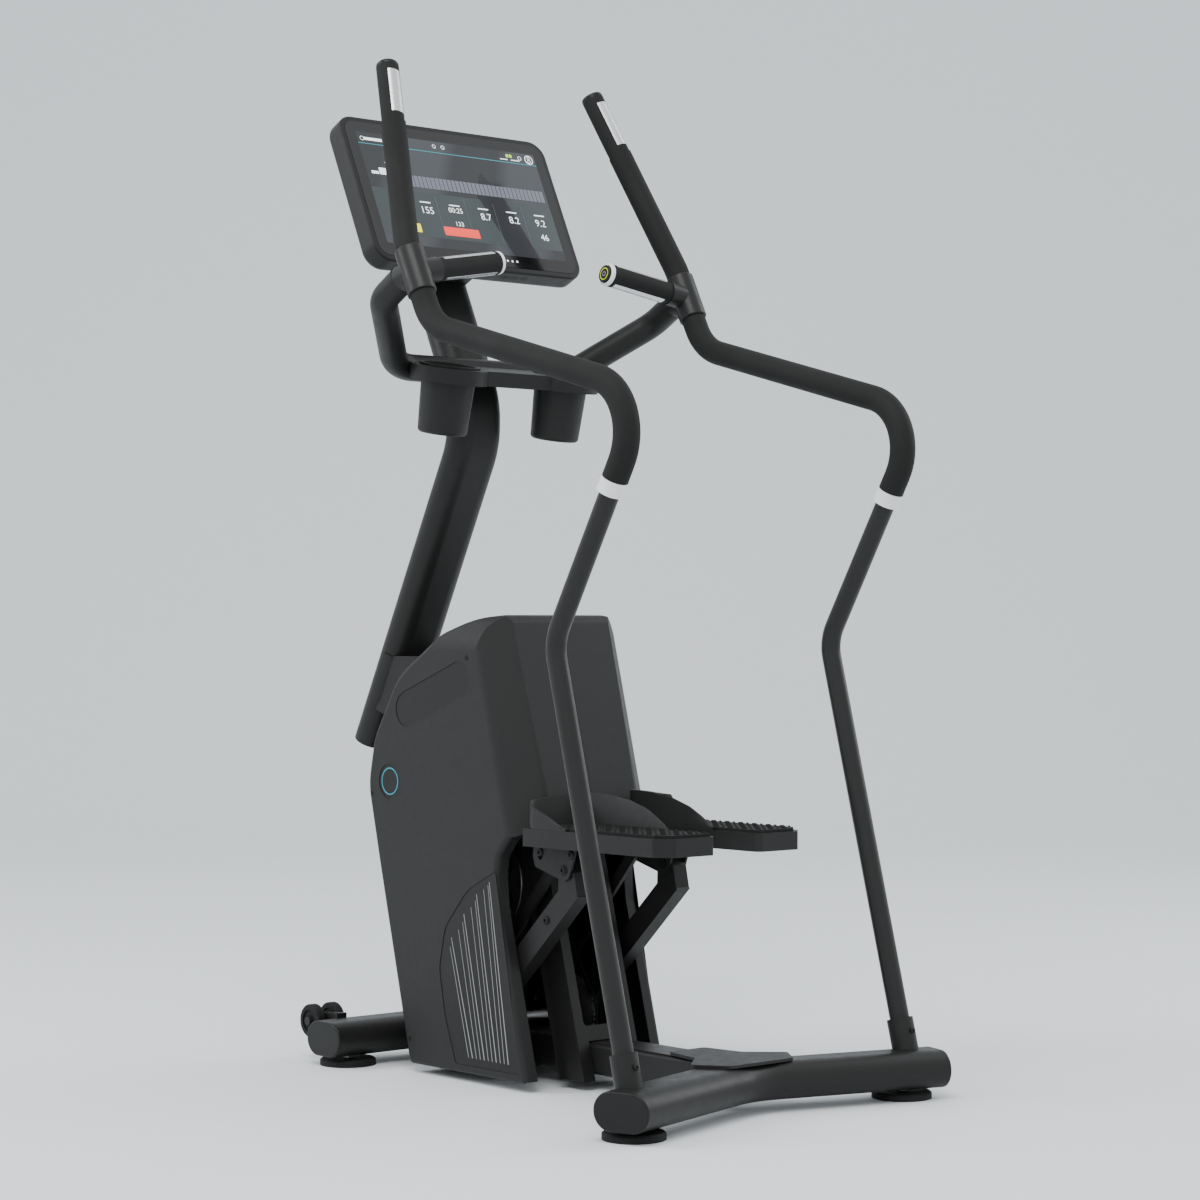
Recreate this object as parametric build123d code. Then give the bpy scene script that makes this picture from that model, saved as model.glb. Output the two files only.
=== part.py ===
from build123d import *
import os
from math import atan2, cos, degrees, hypot, radians, sin

# Stair climber with two independent step arms, a curved mast, two bent handrails and a touch console.
# Millimetres. +Z is up, the user stands on the -Y side and faces +Y, +X is the user's right.
# Y is measured from the axis of the two rear feet while drawing, then every piece is moved so that
# the origin lies on the floor under the middle of the whole machine.
ORIGIN_Y = 500.7

# Base
FOOT_RADIUS = 50.0
FOOT_HEIGHT = 12.0
TUBE_WIDTH = 100.0
TUBE_HEIGHT = 62.0
TUBE_WALL = 3.0
TUBE_BOTTOM = 18.0
TUBE_AXIS_Z = TUBE_BOTTOM + TUBE_HEIGHT / 2
TUBE_TOP = TUBE_BOTTOM + TUBE_HEIGHT
REAR_HALF_SPAN = 346.0
REAR_END_Y = -28.0
REAR_PEAK_Y = 75.0
REAR_BEND = 180.0
REAR_FOOT_X = 297.0
FRONT_HALF_SPAN = 235.0
FRONT_Y = 898.0
FRONT_FOOT_X = 185.0
CAP_THICKNESS = 5.0
SPINE_WIDTH = 80.0
SPINE_BOTTOM = 25.0
WHEEL_RADIUS = 30.0
WHEEL_WIDTH = 18.0
WHEEL_Y = 985.0
WHEEL_Z = 70.0
WHEEL_PAIR_X = 179.0
WHEEL_OFFSET = 21.0
AXLE_RADIUS = 4.0

# Mast, a flat-oval tube lying in the middle plane, wide side to the user
MAST_WIDTH = 106.0
MAST_DEPTH = 60.0
MAST_WALL = 3.0
MAST_FOOT = (1050.0, 572.0)
MAST_KNEE = (771.0, 1112.0)
MAST_NECK = (771.0, 1188.0)
MAST_HEAD = (884.0, 1430.0)
MAST_BEND = 140.0

# Handrails
RAIL_X = 307.0
RAIL_RADIUS = 16.5
RAIL_WALL = 2.5
SLEEVE_RADIUS = 21.5
RAIL_FOOT = (4.0, 92.0)
RAIL_KINK = (178.6, 757.7)
RAIL_OUTER = (-41.7, 1137.0)
RAIL_LOWER = (492.7, 1281.4)
RAIL_ELBOW = (565.0, 1428.0)
RAIL_TOP = (235.0, 714.5, 1750.0)
RING_HEIGHT = 24.0
SOCKET_RADIUS = 22.0
TEE_RADIUS = 25.0
GRIP_RADIUS = 20.0
GRIP_LENGTH = 118.0
CROSS_END = (118.0, 548.5, 1407.0)
CROSS_START = (307.0, 538.8, 1375.0)
FIT_GAP = 0.05

# Yoke that ties both handrails to the mast
YOKE_RADIUS = 24.0
YOKE_BACK = (307.0, 575.0, 1366.0)
YOKE_SHOULDER = (307.0, 630.0, 1336.0)
YOKE_CORNER = (190.0, 752.0, 1238.0)

# Cup tray, tilted towards the user
TRAY_TILT = 11.0
TRAY_CENTRE = (0.0, 676.0, 1236.0)
CUP_X = 128.0
CUP_TOP_RADIUS = 49.0
CUP_BOTTOM_RADIUS = 43.5
CUP_DEPTH = 118.0
CUP_WALL = 3.0
CUP_RIM = 4.5

# Console
GLASS_WIDTH = 452.0
GLASS_HEIGHT = 276.0
GLASS_CENTRE = (0.0, 802.8, 1557.4)
CONSOLE_TILT = 25.0
CONSOLE_WIDTH = 474.0
CONSOLE_HEIGHT = 298.0
CONSOLE_DEPTH = 44.0

# Housing
COVER_HALF_WIDTH = 157.0
COVER_WALL = 4.0
PANEL_HALF_WIDTH = 101.0
CHAMFER_DEPTH = 52.0
REAR_LEAN = 0.263
RIM_HALF_WIDTH = 131.0
HOUSING_TOP = 804.0
BEVEL_ROUNDING = 26.0
SHOULDER_RADIUS = 66.0
SLOT_TOP = 440.0

# Step linkage
PIVOT = (610.0, 100.0)
ARM_ANGLE = 43.4
ARM_LENGTH = 362.0
ARM_DEPTH = 40.0
ARM_INNER_X = 96.0
ARM_OUTER_X = 126.0
ARM_WALL = 3.0
PEDAL_PIN = (365.0, 377.0)
LINK_OFFSET = (60.0, 20.0)
LINK_INNER_X = 80.0
LINK_OUTER_X = 88.0
SHAFT_RADIUS = 10.0
PIN_RADIUS = 6.0
PEDAL_INNER_X = 47.0
PEDAL_OUTER_X = 162.0
PEDAL_REAR_Y = 82.0
PEDAL_BOTTOM = 415.0
PEDAL_TOP = 445.0
MAT_TOP = 450.0

# Drive
SPROCKET_LARGE = 66.0
SPROCKET_SMALL = 20.0
DRIVE_SHAFT = (712.0, 330.0)
PULLEY_LARGE = 90.0
PULLEY_SMALL = 18.0
ALTERNATOR = (797.0, 500.0)
FLYWHEEL_RADIUS = 55.0


def mirrored(shape):
    """The same piece on the other side of the middle plane."""
    return mirror(shape, about=Plane.YZ)


def gathered(*shapes):
    """Several pieces of one kind kept as separate solids of one node."""
    return Compound(children=[solid for shape in shapes for solid in shape.solids()])


def pair(shape):
    """A left and a right copy kept as separate solids."""
    return gathered(shape, mirrored(shape))


def box_between(low, high):
    """An upright box from its lowest to its highest corner."""
    size = [h - l for l, h in zip(low, high)]
    middle = [(h + l) / 2 for l, h in zip(low, high)]
    return Pos(*middle) * Box(*size)


def rod(start, end, radius):
    """A round bar from one point to another."""
    axis = Vector(*end) - Vector(*start)
    plane = Plane(origin=start, z_dir=axis)
    return extrude(plane * Circle(radius), axis.length)


def pipe(start, end, outer, inner):
    """A round tube from one point to another."""
    axis = Vector(*end) - Vector(*start)
    plane = Plane(origin=start, z_dir=axis)
    return extrude(plane * (Circle(outer) - Circle(inner)), axis.length)


def x_bar(y, z, radius, low, high):
    """A round bar along X."""
    return rod((low, y, z), (high, y, z), radius)


def side_plate(outline, low, high):
    """A plate with its outline in the YZ plane, between two X values."""
    face = Plane.YZ * make_face(Polyline(*outline, close=True))
    return Pos(low, 0, 0) * extrude(face, high - low, dir=(1, 0, 0))


def swept_round(points, radii, outer, inner=0.0):
    """A round tube or bar along straight runs joined by tangent arcs."""
    path = FilletPolyline(*points, radius=radii)
    section = Circle(outer)
    if inner > 0:
        section = section - Circle(inner)
    plane = Plane(origin=path @ 0, z_dir=path % 0)
    return sweep(plane * section, path=path)


def flat_oval(width, height, wall=0.0):
    """The flat-oval tube section, long side along the plane's X."""
    section = SlotOverall(width, height)
    if wall > 0:
        section = section - SlotOverall(width - 2 * wall, height - 2 * wall)
    return section


# ---------------------------------------------------------------- base

def rear_path():
    ends = (REAR_HALF_SPAN, REAR_END_Y)
    points = [(-ends[0], ends[1], TUBE_AXIS_Z), (0, REAR_PEAK_Y, TUBE_AXIS_Z), (ends[0], ends[1], TUBE_AXIS_Z)]
    return FilletPolyline(*points, radius=REAR_BEND)


def rear_end_plane():
    path = rear_path()
    along = path % 0
    return Plane(origin=path @ 0, x_dir=along.cross(Vector(0, 0, 1)), z_dir=along)


def rear_tube(wall):
    return sweep(rear_end_plane() * flat_oval(TUBE_WIDTH, TUBE_HEIGHT, wall), path=rear_path())


def front_end_plane():
    return Plane(origin=(-FRONT_HALF_SPAN, FRONT_Y, TUBE_AXIS_Z), x_dir=(0, 1, 0), z_dir=(1, 0, 0))


def front_tube(wall):
    return extrude(front_end_plane() * flat_oval(TUBE_WIDTH, TUBE_HEIGHT, wall), 2 * FRONT_HALF_SPAN)


def foot_places():
    rear = [(side * REAR_FOOT_X, 0.0) for side in (-1, 1)]
    front = [(side * FRONT_FOOT_X, FRONT_Y) for side in (-1, 1)]
    return rear + front


def stud_holes():
    return [Pos(x, y, TUBE_BOTTOM) * Cylinder(5.3, 20) for x, y in foot_places()]


def rear_crossbar():
    return rear_tube(TUBE_WALL) - stud_holes()


def front_crossbar():
    return front_tube(TUBE_WALL) - stud_holes()


def tube_cap(plane):
    """A moulded cap: a rounded face plate and a plug that slides into the tube."""
    out = Plane(origin=plane.origin, x_dir=plane.x_dir, z_dir=-plane.z_dir)
    face = extrude(out * flat_oval(TUBE_WIDTH, TUBE_HEIGHT), CAP_THICKNESS)
    rim = face.faces().sort_by(Axis(plane.origin, -plane.z_dir))[-1].edges()
    face = fillet(rim, 3.5)
    gap = 2 * TUBE_WALL + 0.6
    plug = extrude(plane * flat_oval(TUBE_WIDTH - gap, TUBE_HEIGHT - gap), 12)
    return face + plug


def levelling_pads():
    pads = []
    for x, y in foot_places():
        pad = Pos(x, y, FOOT_HEIGHT / 2) * Cylinder(FOOT_RADIUS, FOOT_HEIGHT)
        pad = chamfer(pad.edges().sort_by(Axis.Z)[-1], 3)
        pad = pad - Pos(x, y, FOOT_HEIGHT) * Cylinder(5.05, 12)
        pads.append(pad)
    return Compound(children=pads)


def levelling_studs():
    studs = []
    for x, y in foot_places():
        stud = Pos(x, y, 20) * Cylinder(5, 26)
        nut_height = TUBE_BOTTOM - FOOT_HEIGHT - 0.4
        nut = Pos(x, y, FOOT_HEIGHT + 0.2) * extrude(RegularPolygon(9, 6), nut_height)
        studs.append(stud + nut)
    return Compound(children=studs)


def base_spine():
    """A box tube under the housing that joins the two crossbars."""
    low = (-SPINE_WIDTH / 2, 60.0, SPINE_BOTTOM)
    high = (SPINE_WIDTH / 2, FRONT_Y, TUBE_TOP - 1)
    outer = box_between(low, high)
    outer = fillet(outer.edges().filter_by(Axis.Y), 8)
    inner = box_between((low[0] + 3, low[1] - 1, low[2] + 3), (high[0] - 3, high[1] + 1, high[2] - 3))
    return outer - inner - rear_tube(0) - front_tube(0)


def spine_cover():
    """The angled moulding over the weld of the spine and the rear crossbar."""
    outline = [(-108, 78), (-70, 26), (70, 26), (108, 78), (52, 128), (40, 205), (-40, 205), (-52, 128)]
    plate = extrude(make_face(Polyline(*outline, close=True)), 5)
    plate = fillet(plate.edges().filter_by(Axis.Z), 9)
    return Pos(0, 0, TUBE_TOP + 0.2) * plate


def wheel_brackets():
    """One forward lug between each pair of transport wheels."""
    outline = [(925, 58), (WHEEL_Y, 56), (WHEEL_Y + 13, WHEEL_Z), (WHEEL_Y, 84), (925, 88)]
    half = (WHEEL_OFFSET - WHEEL_WIDTH / 2) - 1.5
    lug = side_plate(outline, WHEEL_PAIR_X - half, WHEEL_PAIR_X + half)
    lug = lug - front_tube(0) - x_bar(WHEEL_Y, WHEEL_Z, AXLE_RADIUS + 0.02, 100, 260)
    return pair(lug)


def wheel_axle():
    reach = WHEEL_OFFSET + WHEEL_WIDTH / 2 + 4
    axle = x_bar(WHEEL_Y, WHEEL_Z, AXLE_RADIUS, WHEEL_PAIR_X - reach, WHEEL_PAIR_X + reach)
    for side in (-1, 1):
        end = WHEEL_PAIR_X + side * reach
        low, high = sorted((end, end - side * 2.5))
        axle = axle + x_bar(WHEEL_Y, WHEEL_Z, 8, low, high)
    return axle


def transport_wheels():
    """A twin wheel: two rollers that share one hub tube round the axle."""
    rollers = []
    for side in (-1, 1):
        middle = WHEEL_PAIR_X + side * WHEEL_OFFSET
        low = middle - WHEEL_WIDTH / 2
        roller = x_bar(WHEEL_Y, WHEEL_Z, WHEEL_RADIUS, low, low + WHEEL_WIDTH)
        roller = fillet(roller.edges().filter_by(GeomType.CIRCLE), 4)
        groove = pipe((low - 1, WHEEL_Y, WHEEL_Z), (low + 3, WHEEL_Y, WHEEL_Z), 20, 10)
        other = pipe((low + WHEEL_WIDTH - 3, WHEEL_Y, WHEEL_Z), (low + WHEEL_WIDTH + 1, WHEEL_Y, WHEEL_Z), 20, 10)
        roller = roller - groove - other - x_bar(WHEEL_Y, WHEEL_Z, AXLE_RADIUS + FIT_GAP, low - 1, low + 30)
        rollers.append(roller)
    return rollers


# ---------------------------------------------------------------- mast

def mast_path():
    points = [(0, *MAST_FOOT), (0, *MAST_KNEE), (0, *MAST_NECK), (0, *MAST_HEAD)]
    return FilletPolyline(*points, radius=[MAST_BEND, MAST_BEND])


def mast_foot_plane():
    path = mast_path()
    return Plane(origin=path @ 0, x_dir=(1, 0, 0), z_dir=path % 0)


def mast_body(wall):
    return sweep(mast_foot_plane() * flat_oval(MAST_WIDTH, MAST_DEPTH, wall), path=mast_path())


def mast_plug():
    plane = mast_foot_plane()
    out = Plane(origin=plane.origin, x_dir=plane.x_dir, z_dir=-plane.z_dir)
    face = extrude(out * flat_oval(MAST_WIDTH, MAST_DEPTH), 3)
    gap = 2 * MAST_WALL + 0.6
    plug = extrude(plane * flat_oval(MAST_WIDTH - gap, MAST_DEPTH - gap), 14)
    return face + plug


def mast_neck():
    """The welded box that carries the mast in front of the inner frame."""
    outline = [(692, 622), (980, 622), (1030, 640), (985, 728), (692, 728)]
    outer = side_plate(outline, -48, 48)
    inner = side_plate([(690, 628), (1060, 628), (1060, 722), (690, 722)], -42, 42)
    return outer - inner - mast_body(0)


def mast_collar():
    """The moulded saddle that hugs the user's side of the mast above the housing."""
    plane = mast_foot_plane()
    low = 88.0
    start = Plane(origin=plane.origin + plane.z_dir * low, x_dir=plane.x_dir, z_dir=plane.z_dir)
    ring = flat_oval(MAST_WIDTH + 5, MAST_DEPTH + 5) - flat_oval(MAST_WIDTH + 0.4, MAST_DEPTH + 0.4)
    collar = extrude(start * ring, 96)
    halves = [collar & extrude(start * Pos(0, side * 40) * Rectangle(200, 80), 96) for side in (-1, 1)]
    rear = min(halves, key=lambda piece: piece.center().Y)
    return rear - box_between((-48.3, 600, 560), (48.3, 1100, 728.3))


# ---------------------------------------------------------------- handrails (right side, +X)

def rail_points():
    flat = [RAIL_FOOT, RAIL_KINK, RAIL_OUTER, RAIL_LOWER, RAIL_ELBOW]
    return [Vector(RAIL_X, *point) for point in flat] + [Vector(*RAIL_TOP)]


RAIL_BENDS = [70.0, 91.0, 90.0, 120.0]


def rail_tube():
    """The bent steel tube from the socket up to the top of the upright grip."""
    points = rail_points()
    tube = swept_round(points, RAIL_BENDS, RAIL_RADIUS, RAIL_RADIUS - RAIL_WALL)
    return tube


def on_run(first, second, z):
    """The point at height z on one straight run of the handrail."""
    points = rail_points()
    start, end = points[first], points[second]
    share = (z - start.Z) / (end.Z - start.Z)
    return start + (end - start) * share


def ring_ends():
    low = on_run(1, 2, 989.0)
    axis = (on_run(1, 2, 1013.0) - low).normalized()
    return low, low + axis * RING_HEIGHT


def tee_ends():
    return on_run(3, 4, 1337.0), on_run(3, 4, 1413.0)


def grip_start():
    points = rail_points()
    axis = (points[5] - points[4]).normalized()
    return points[5] - axis * GRIP_LENGTH


def sleeve_section(start, along):
    ring = Circle(SLEEVE_RADIUS) - Circle(RAIL_RADIUS + FIT_GAP)
    return Plane(origin=start, z_dir=along) * ring


def lower_sleeve():
    """The thick hand sleeve from the ring, over the outer bend, to the tee."""
    start = ring_ends()[1] + (ring_ends()[1] - ring_ends()[0]).normalized() * 0.3
    end = tee_ends()[0] - (tee_ends()[1] - tee_ends()[0]).normalized() * 0.3
    points = rail_points()
    path = FilletPolyline(start, points[2], points[3], end, radius=RAIL_BENDS[1:3])
    return sweep(sleeve_section(start, path % 0), path=path)


def upper_sleeve():
    """The hand sleeve between the tee and the contact grip."""
    start = tee_ends()[1] + (tee_ends()[1] - tee_ends()[0]).normalized() * 0.3
    points = rail_points()
    end = grip_start() - (points[5] - points[4]).normalized() * 0.3
    path = FilletPolyline(start, points[4], end, radius=RAIL_BENDS[3])
    return sweep(sleeve_section(start, path % 0), path=path)


def rail_ring():
    low, high = ring_ends()
    return pipe(low, high, SLEEVE_RADIUS + 1.0, RAIL_RADIUS + FIT_GAP)


def rail_socket():
    points = rail_points()
    axis = (points[1] - points[0]).normalized()
    low = points[0] - axis * 34
    high = points[0] + axis * 38
    socket = rod(low, high, SOCKET_RADIUS)
    socket = socket - rod(points[0] - axis * 0.3, high + axis, RAIL_RADIUS + FIT_GAP)
    return socket - rear_tube(0)


def rail_tee():
    """The cast joint that carries the yoke and the cross grip."""
    low, high = tee_ends()
    body = rod(low, high, TEE_RADIUS)
    body = fillet(body.edges().filter_by(GeomType.CIRCLE), 2)
    start = Vector(*CROSS_START)
    axis = (Vector(*CROSS_END) - start).normalized()
    spigot = rod(start, start + axis * 46, GRIP_RADIUS + 1.5)
    tail = rod(start, Vector(*YOKE_BACK), YOKE_RADIUS - 0.4)
    bore = rod(low - (high - low), high + (high - low), RAIL_RADIUS + FIT_GAP)
    return body + spigot + tail - bore - yoke_solid()


def grip_frame(axis_start, axis_end):
    """A frame on a grip: Z along the grip, X to the side, Y up or back."""
    start, end = Vector(*axis_start), Vector(*axis_end)
    axis = (end - start).normalized()
    side = Vector(0, -1, 0) if abs(axis.Z) < 0.5 else Vector(1, 0, 0)
    side = (side - axis * side.dot(axis)).normalized()
    return Plane(origin=start, x_dir=side, z_dir=axis)


def contact_recesses(plane, low, high, radius, gap):
    """Two opposite shell strips sunk in a grip, used for the plates and for their seats."""
    strips = []
    outer = radius + (1.0 if gap else 0.3)
    inner = radius - 1.2 - gap
    for side in (-1, 1):
        strip = Circle(outer) - Circle(inner)
        strip = strip & (Pos(0, side * radius) * Rectangle(24 + 2 * gap, 1.5 * radius))
        start = plane.offset(low - gap)
        strips.append(extrude(start * strip, high - low + 2 * gap))
    return strips


def upright_grip_parts():
    """The contact grip at the top of a handrail: body, metal plates and end cap."""
    start, end = grip_start(), rail_points()[5]
    plane = grip_frame(start, end)
    body = pipe(start, end, GRIP_RADIUS, RAIL_RADIUS + FIT_GAP)
    body = body - contact_recesses(plane, 14, GRIP_LENGTH - 14, GRIP_RADIUS, 0.05)
    plates = Compound(children=contact_recesses(plane, 14, GRIP_LENGTH - 14, GRIP_RADIUS, 0.0))
    cap_plane = Plane(origin=end, x_dir=plane.x_dir, z_dir=plane.z_dir)
    cap = extrude(cap_plane.offset(0.1) * Circle(GRIP_RADIUS), 9)
    cap = fillet(cap.faces().sort_by(Axis(end, plane.z_dir))[-1].edges(), 5)
    stem = extrude(cap_plane.offset(-12) * Circle(RAIL_RADIUS - RAIL_WALL - 0.2), 13)
    return body, plates, cap + stem


def cross_grip_parts():
    """The short inward grip: body, metal plates, end ring and push button."""
    start = Vector(*CROSS_START)
    axis = (Vector(*CROSS_END) - start).normalized()
    root = start + axis * 46.3
    length = (Vector(*CROSS_END) - root).length
    plane = grip_frame(root, CROSS_END)
    ring_depth = 7.0
    body_length = length - ring_depth - 4
    body = extrude(plane * Circle(GRIP_RADIUS), body_length)
    body = body - contact_recesses(plane, 12, body_length - 8, GRIP_RADIUS, 0.05)
    plates = Compound(children=contact_recesses(plane, 12, body_length - 8, GRIP_RADIUS, 0.0))
    body = body - extrude(plane.offset(body_length - 16) * Circle(16.2), 17)
    ring = extrude(plane.offset(body_length + 0.1) * (Circle(GRIP_RADIUS) - Circle(16.4)), ring_depth)
    ring = chamfer(ring.edges().filter_by(GeomType.CIRCLE).sort_by(SortBy.RADIUS)[-1], 1.2)
    button = extrude(plane.offset(body_length - 6) * Circle(16.0), ring_depth + 10)
    top = button.faces().sort_by(Axis(root, axis))[-1]
    button = fillet(top.edges(), 2)
    return body, plates, ring, button


# ---------------------------------------------------------------- yoke, cups, console

def yoke():
    right = [YOKE_BACK, YOKE_SHOULDER, YOKE_CORNER]
    left = [(-x, y, z) for x, y, z in reversed(right)]
    tube = swept_round(right + left, [55, 75, 75, 55], YOKE_RADIUS, YOKE_RADIUS - 3)
    return tube - mast_body(0)


def tray_plane():
    return Plane(origin=TRAY_CENTRE, x_dir=(1, 0, 0), z_dir=(0, -sin(radians(TRAY_TILT)), cos(radians(TRAY_TILT))))


def tray_outline(inset):
    """The tray's plan: two round cup seats joined by a bar in front of the mast."""
    seats = [Pos(side * CUP_X, 0) * Circle(68 - inset) for side in (-1, 1)]
    bar = Pos(0, 6) * Rectangle(2 * CUP_X + 40 - 2 * inset, 92 - 2 * inset)
    return bar + seats


def cup_holes(radius):
    return [Pos(side * CUP_X, 0) * Circle(radius) for side in (-1, 1)]


def cup_tray():
    plane = tray_plane()
    top = extrude(plane.offset(-5) * tray_outline(0), 5)
    skirt = extrude(plane.offset(-26) * (tray_outline(0) - tray_outline(3.5)), 22)
    holes = extrude(plane.offset(-40) * Sketch(children=cup_holes(CUP_TOP_RADIUS + 0.4)), 60)
    return top + skirt - holes - yoke_solid() - mast_body(0)


def yoke_solid():
    right = [YOKE_BACK, YOKE_SHOULDER, YOKE_CORNER]
    left = [(-x, y, z) for x, y, z in reversed(right)]
    return swept_round(right + left, [55, 75, 75, 55], YOKE_RADIUS + 0.2)


def cup_holder():
    """A tapered cup that hangs in the tray by its rim."""
    plane = tray_plane()
    seat = Plane(origin=plane.from_local_coords(Vector(CUP_X, 0, 0)), x_dir=plane.x_dir, z_dir=plane.z_dir)
    down = Plane(origin=seat.origin, x_dir=seat.x_dir, z_dir=-seat.z_dir)
    outer = loft([down.offset(-0.1) * Circle(CUP_TOP_RADIUS), down.offset(CUP_DEPTH) * Circle(CUP_BOTTOM_RADIUS)])
    outer = fillet(outer.faces().sort_by(Axis(seat.origin, seat.z_dir))[0].edges(), 7)
    inner = loft([
        down.offset(-6) * Circle(CUP_TOP_RADIUS - CUP_WALL),
        down.offset(CUP_DEPTH - CUP_WALL) * Circle(CUP_BOTTOM_RADIUS - CUP_WALL),
    ])
    rim = extrude(seat.offset(0.1) * (Circle(CUP_TOP_RADIUS + CUP_RIM) - Circle(CUP_TOP_RADIUS - CUP_WALL)), 4)
    return outer + rim - inner


def console_plane():
    tilt = radians(CONSOLE_TILT)
    return Plane(origin=GLASS_CENTRE, x_dir=(1, 0, 0), z_dir=(0, -cos(tilt), sin(tilt)))


def console_block(width, height, corner, low, high):
    plane = console_plane().offset(low)
    return extrude(plane * RectangleRounded(width, height, corner), high - low)


def console_housing():
    """The deep moulded casing behind the glass."""
    body = console_block(CONSOLE_WIDTH, CONSOLE_HEIGHT, 34, -CONSOLE_DEPTH, -0.5)
    axis = Axis(GLASS_CENTRE, tuple(console_plane().z_dir))
    body = fillet(body.faces().sort_by(axis)[0].edges(), 14)
    body = fillet(body.faces().sort_by(axis)[-1].edges(), 4)
    recess = console_block(GLASS_WIDTH + 0.6, GLASS_HEIGHT + 0.6, 22.3, -4.2, 2)
    cavity = console_block(GLASS_WIDTH - 16, GLASS_HEIGHT - 16, 14, -CONSOLE_DEPTH + 4, 2)
    return body - recess - cavity


def console_glass():
    return console_block(GLASS_WIDTH, GLASS_HEIGHT, 22, -4, 0)


def console_display():
    """The panel and its electronics behind the glass."""
    return console_block(GLASS_WIDTH - 20, GLASS_HEIGHT - 20, 10, -26, -4.3)


def console_bracket():
    """The plate and neck that hold the console on the mast head."""
    plate = console_block(140, 120, 12, -CONSOLE_DEPTH - 6, -CONSOLE_DEPTH - 0.1)
    plane = console_plane()
    stem = extrude(plane.offset(-CONSOLE_DEPTH - 6) * Pos(0, -62) * Rectangle(84, 110), -60)
    return plate + stem - mast_body(0)


# ---------------------------------------------------------------- housing

def rear_y(z):
    """The rear face of the upper housing at height z."""
    return 444 + REAR_LEAN * (z - 502)


def rim_y(z):
    """The rear rim beside the step slots at height z."""
    return 431 + REAR_LEAN * (z - 21)


def rounded_face(corners):
    """A flat face from ((u, v), radius) corners, each rounded by its own radius."""
    face = make_face(Polyline(*[point for point, _ in corners], close=True))
    for point, radius in corners:
        vertex = face.vertices().sort_by_distance((point[0], point[1], 0))[0]
        face = fillet(vertex, radius)
    return face


def side_corners():
    front = [((756, 14), 12), ((847, 366), 300), ((880, 500), 110), ((862, 585), 110), ((792, 695), 130)]
    top = [((672, 768), 200), ((600, 797), 160), ((530, HOUSING_TOP), 22)]
    opening = [((rear_y(447), 447), 7), ((479, 423), 20), ((506, 392), 22), ((511, 360), 30)]
    rim = [((rim_y(305), 305), 60), ((rim_y(14), 14), 6)]
    return front + top + opening + rim


def rear_bevel(inset):
    """The space outside the rounded bevel between the rear panel and the side."""
    start = 400.0
    y = rear_y(start) + 1.034 * inset
    side = COVER_HALF_WIDTH - inset
    near = PANEL_HALF_WIDTH - 0.4 * inset
    curve = FilletPolyline((near - 45, y), (near, y), (side, y + CHAMFER_DEPTH), (side, y + CHAMFER_DEPTH + 60),
                           radius=BEVEL_ROUNDING)
    outside = Polyline((side, y + CHAMFER_DEPTH + 60), (side + 80, y + CHAMFER_DEPTH + 60), (side + 80, y - 60),
                       (near - 45, y - 60), (near - 45, y))
    face = Plane.XY.offset(start) * make_face(curve + outside)
    length = 460 * hypot(1, REAR_LEAN)
    return extrude(face, length, dir=(0, REAR_LEAN, 1))


def top_crown(inset):
    """The space outside the rounded shoulders of the housing."""
    outer = Pos(0, HOUSING_TOP) * Rectangle(2 * COVER_HALF_WIDTH + 120, 400)
    width, height = 2 * (COVER_HALF_WIDTH - inset), 2 * (HOUSING_TOP - inset)
    space = outer - RectangleRounded(width, height, SHOULDER_RADIUS - inset)
    above = space & (Pos(0, HOUSING_TOP + 100) * Rectangle(600, 500))
    return extrude(Plane.XZ * above, 2000, both=True)


def cover_block(inset):
    """One half of the housing as a solid, with every wall moved in by inset."""
    face = rounded_face(side_corners())
    if inset > 0:
        face = offset(face, -inset, kind=Kind.INTERSECTION)
    block = extrude(Plane.YZ * face, COVER_HALF_WIDTH - inset, dir=(1, 0, 0))
    if inset > 0:
        block = block + Pos(-6, 0, 0) * extrude(Plane.YZ * face, 6.5, dir=(1, 0, 0))
    else:
        block = rounded_front(block)
    return block - rear_bevel(inset) - top_crown(inset)


def rounded_front(block):
    """Rounds the long edge between a side and the front of the housing."""
    edges = []
    for edge in block.edges():
        ends = (edge @ 0, edge @ 0.5, edge @ 1)
        if all(abs(point.X - COVER_HALF_WIDTH) < 0.5 for point in ends) and ends[1].Y > 690:
            edges.append(edge)
    return fillet(edges, 10)


def side_cover():
    """One moulded half shell of the housing, open below and along the middle plane."""
    shell = cover_block(0) - cover_block(COVER_WALL)
    floor = box_between((-1, 300, 0), (COVER_HALF_WIDTH - COVER_WALL, 900, 14 + COVER_WALL + 0.5))
    slot = box_between((-1, 300, 0), (RIM_HALF_WIDTH, 530, SLOT_TOP))
    neck = box_between((-1, 640, 619), (51, 900, 731))
    spine = box_between((-1, 600, 0), (SPINE_WIDTH / 2 + 3, 900, TUBE_TOP + 4))
    shell = shell - floor - slot - neck - spine
    shell = Pos(0.15, 0, 0) * shell
    badge = x_bar(812, 508, 31, COVER_HALF_WIDTH - 2.4, COVER_HALF_WIDTH + 5)
    plate = plate_block(0.3)
    holes = [x_bar(y, z, 5, COVER_HALF_WIDTH - 2.5, COVER_HALF_WIDTH + 5) for y, z in screw_places()]
    return shell - badge - plate - holes - insert_block(0.3)


def screw_places():
    return [(590, 728), (862, 484), (750, 58)]


def plate_block(gap):
    """The tilted oval plate near the top of each side."""
    centre = (689, 664)
    tilt = -20.0
    plane = Plane(origin=(COVER_HALF_WIDTH - 2.2, *centre), x_dir=(0, 1, 0), z_dir=(1, 0, 0))
    oval = Rot(0, 0, tilt) * SlotOverall(218 + 2 * gap, 62 + 2 * gap)
    return extrude(plane * oval, 1.4 + gap * 20)


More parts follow.
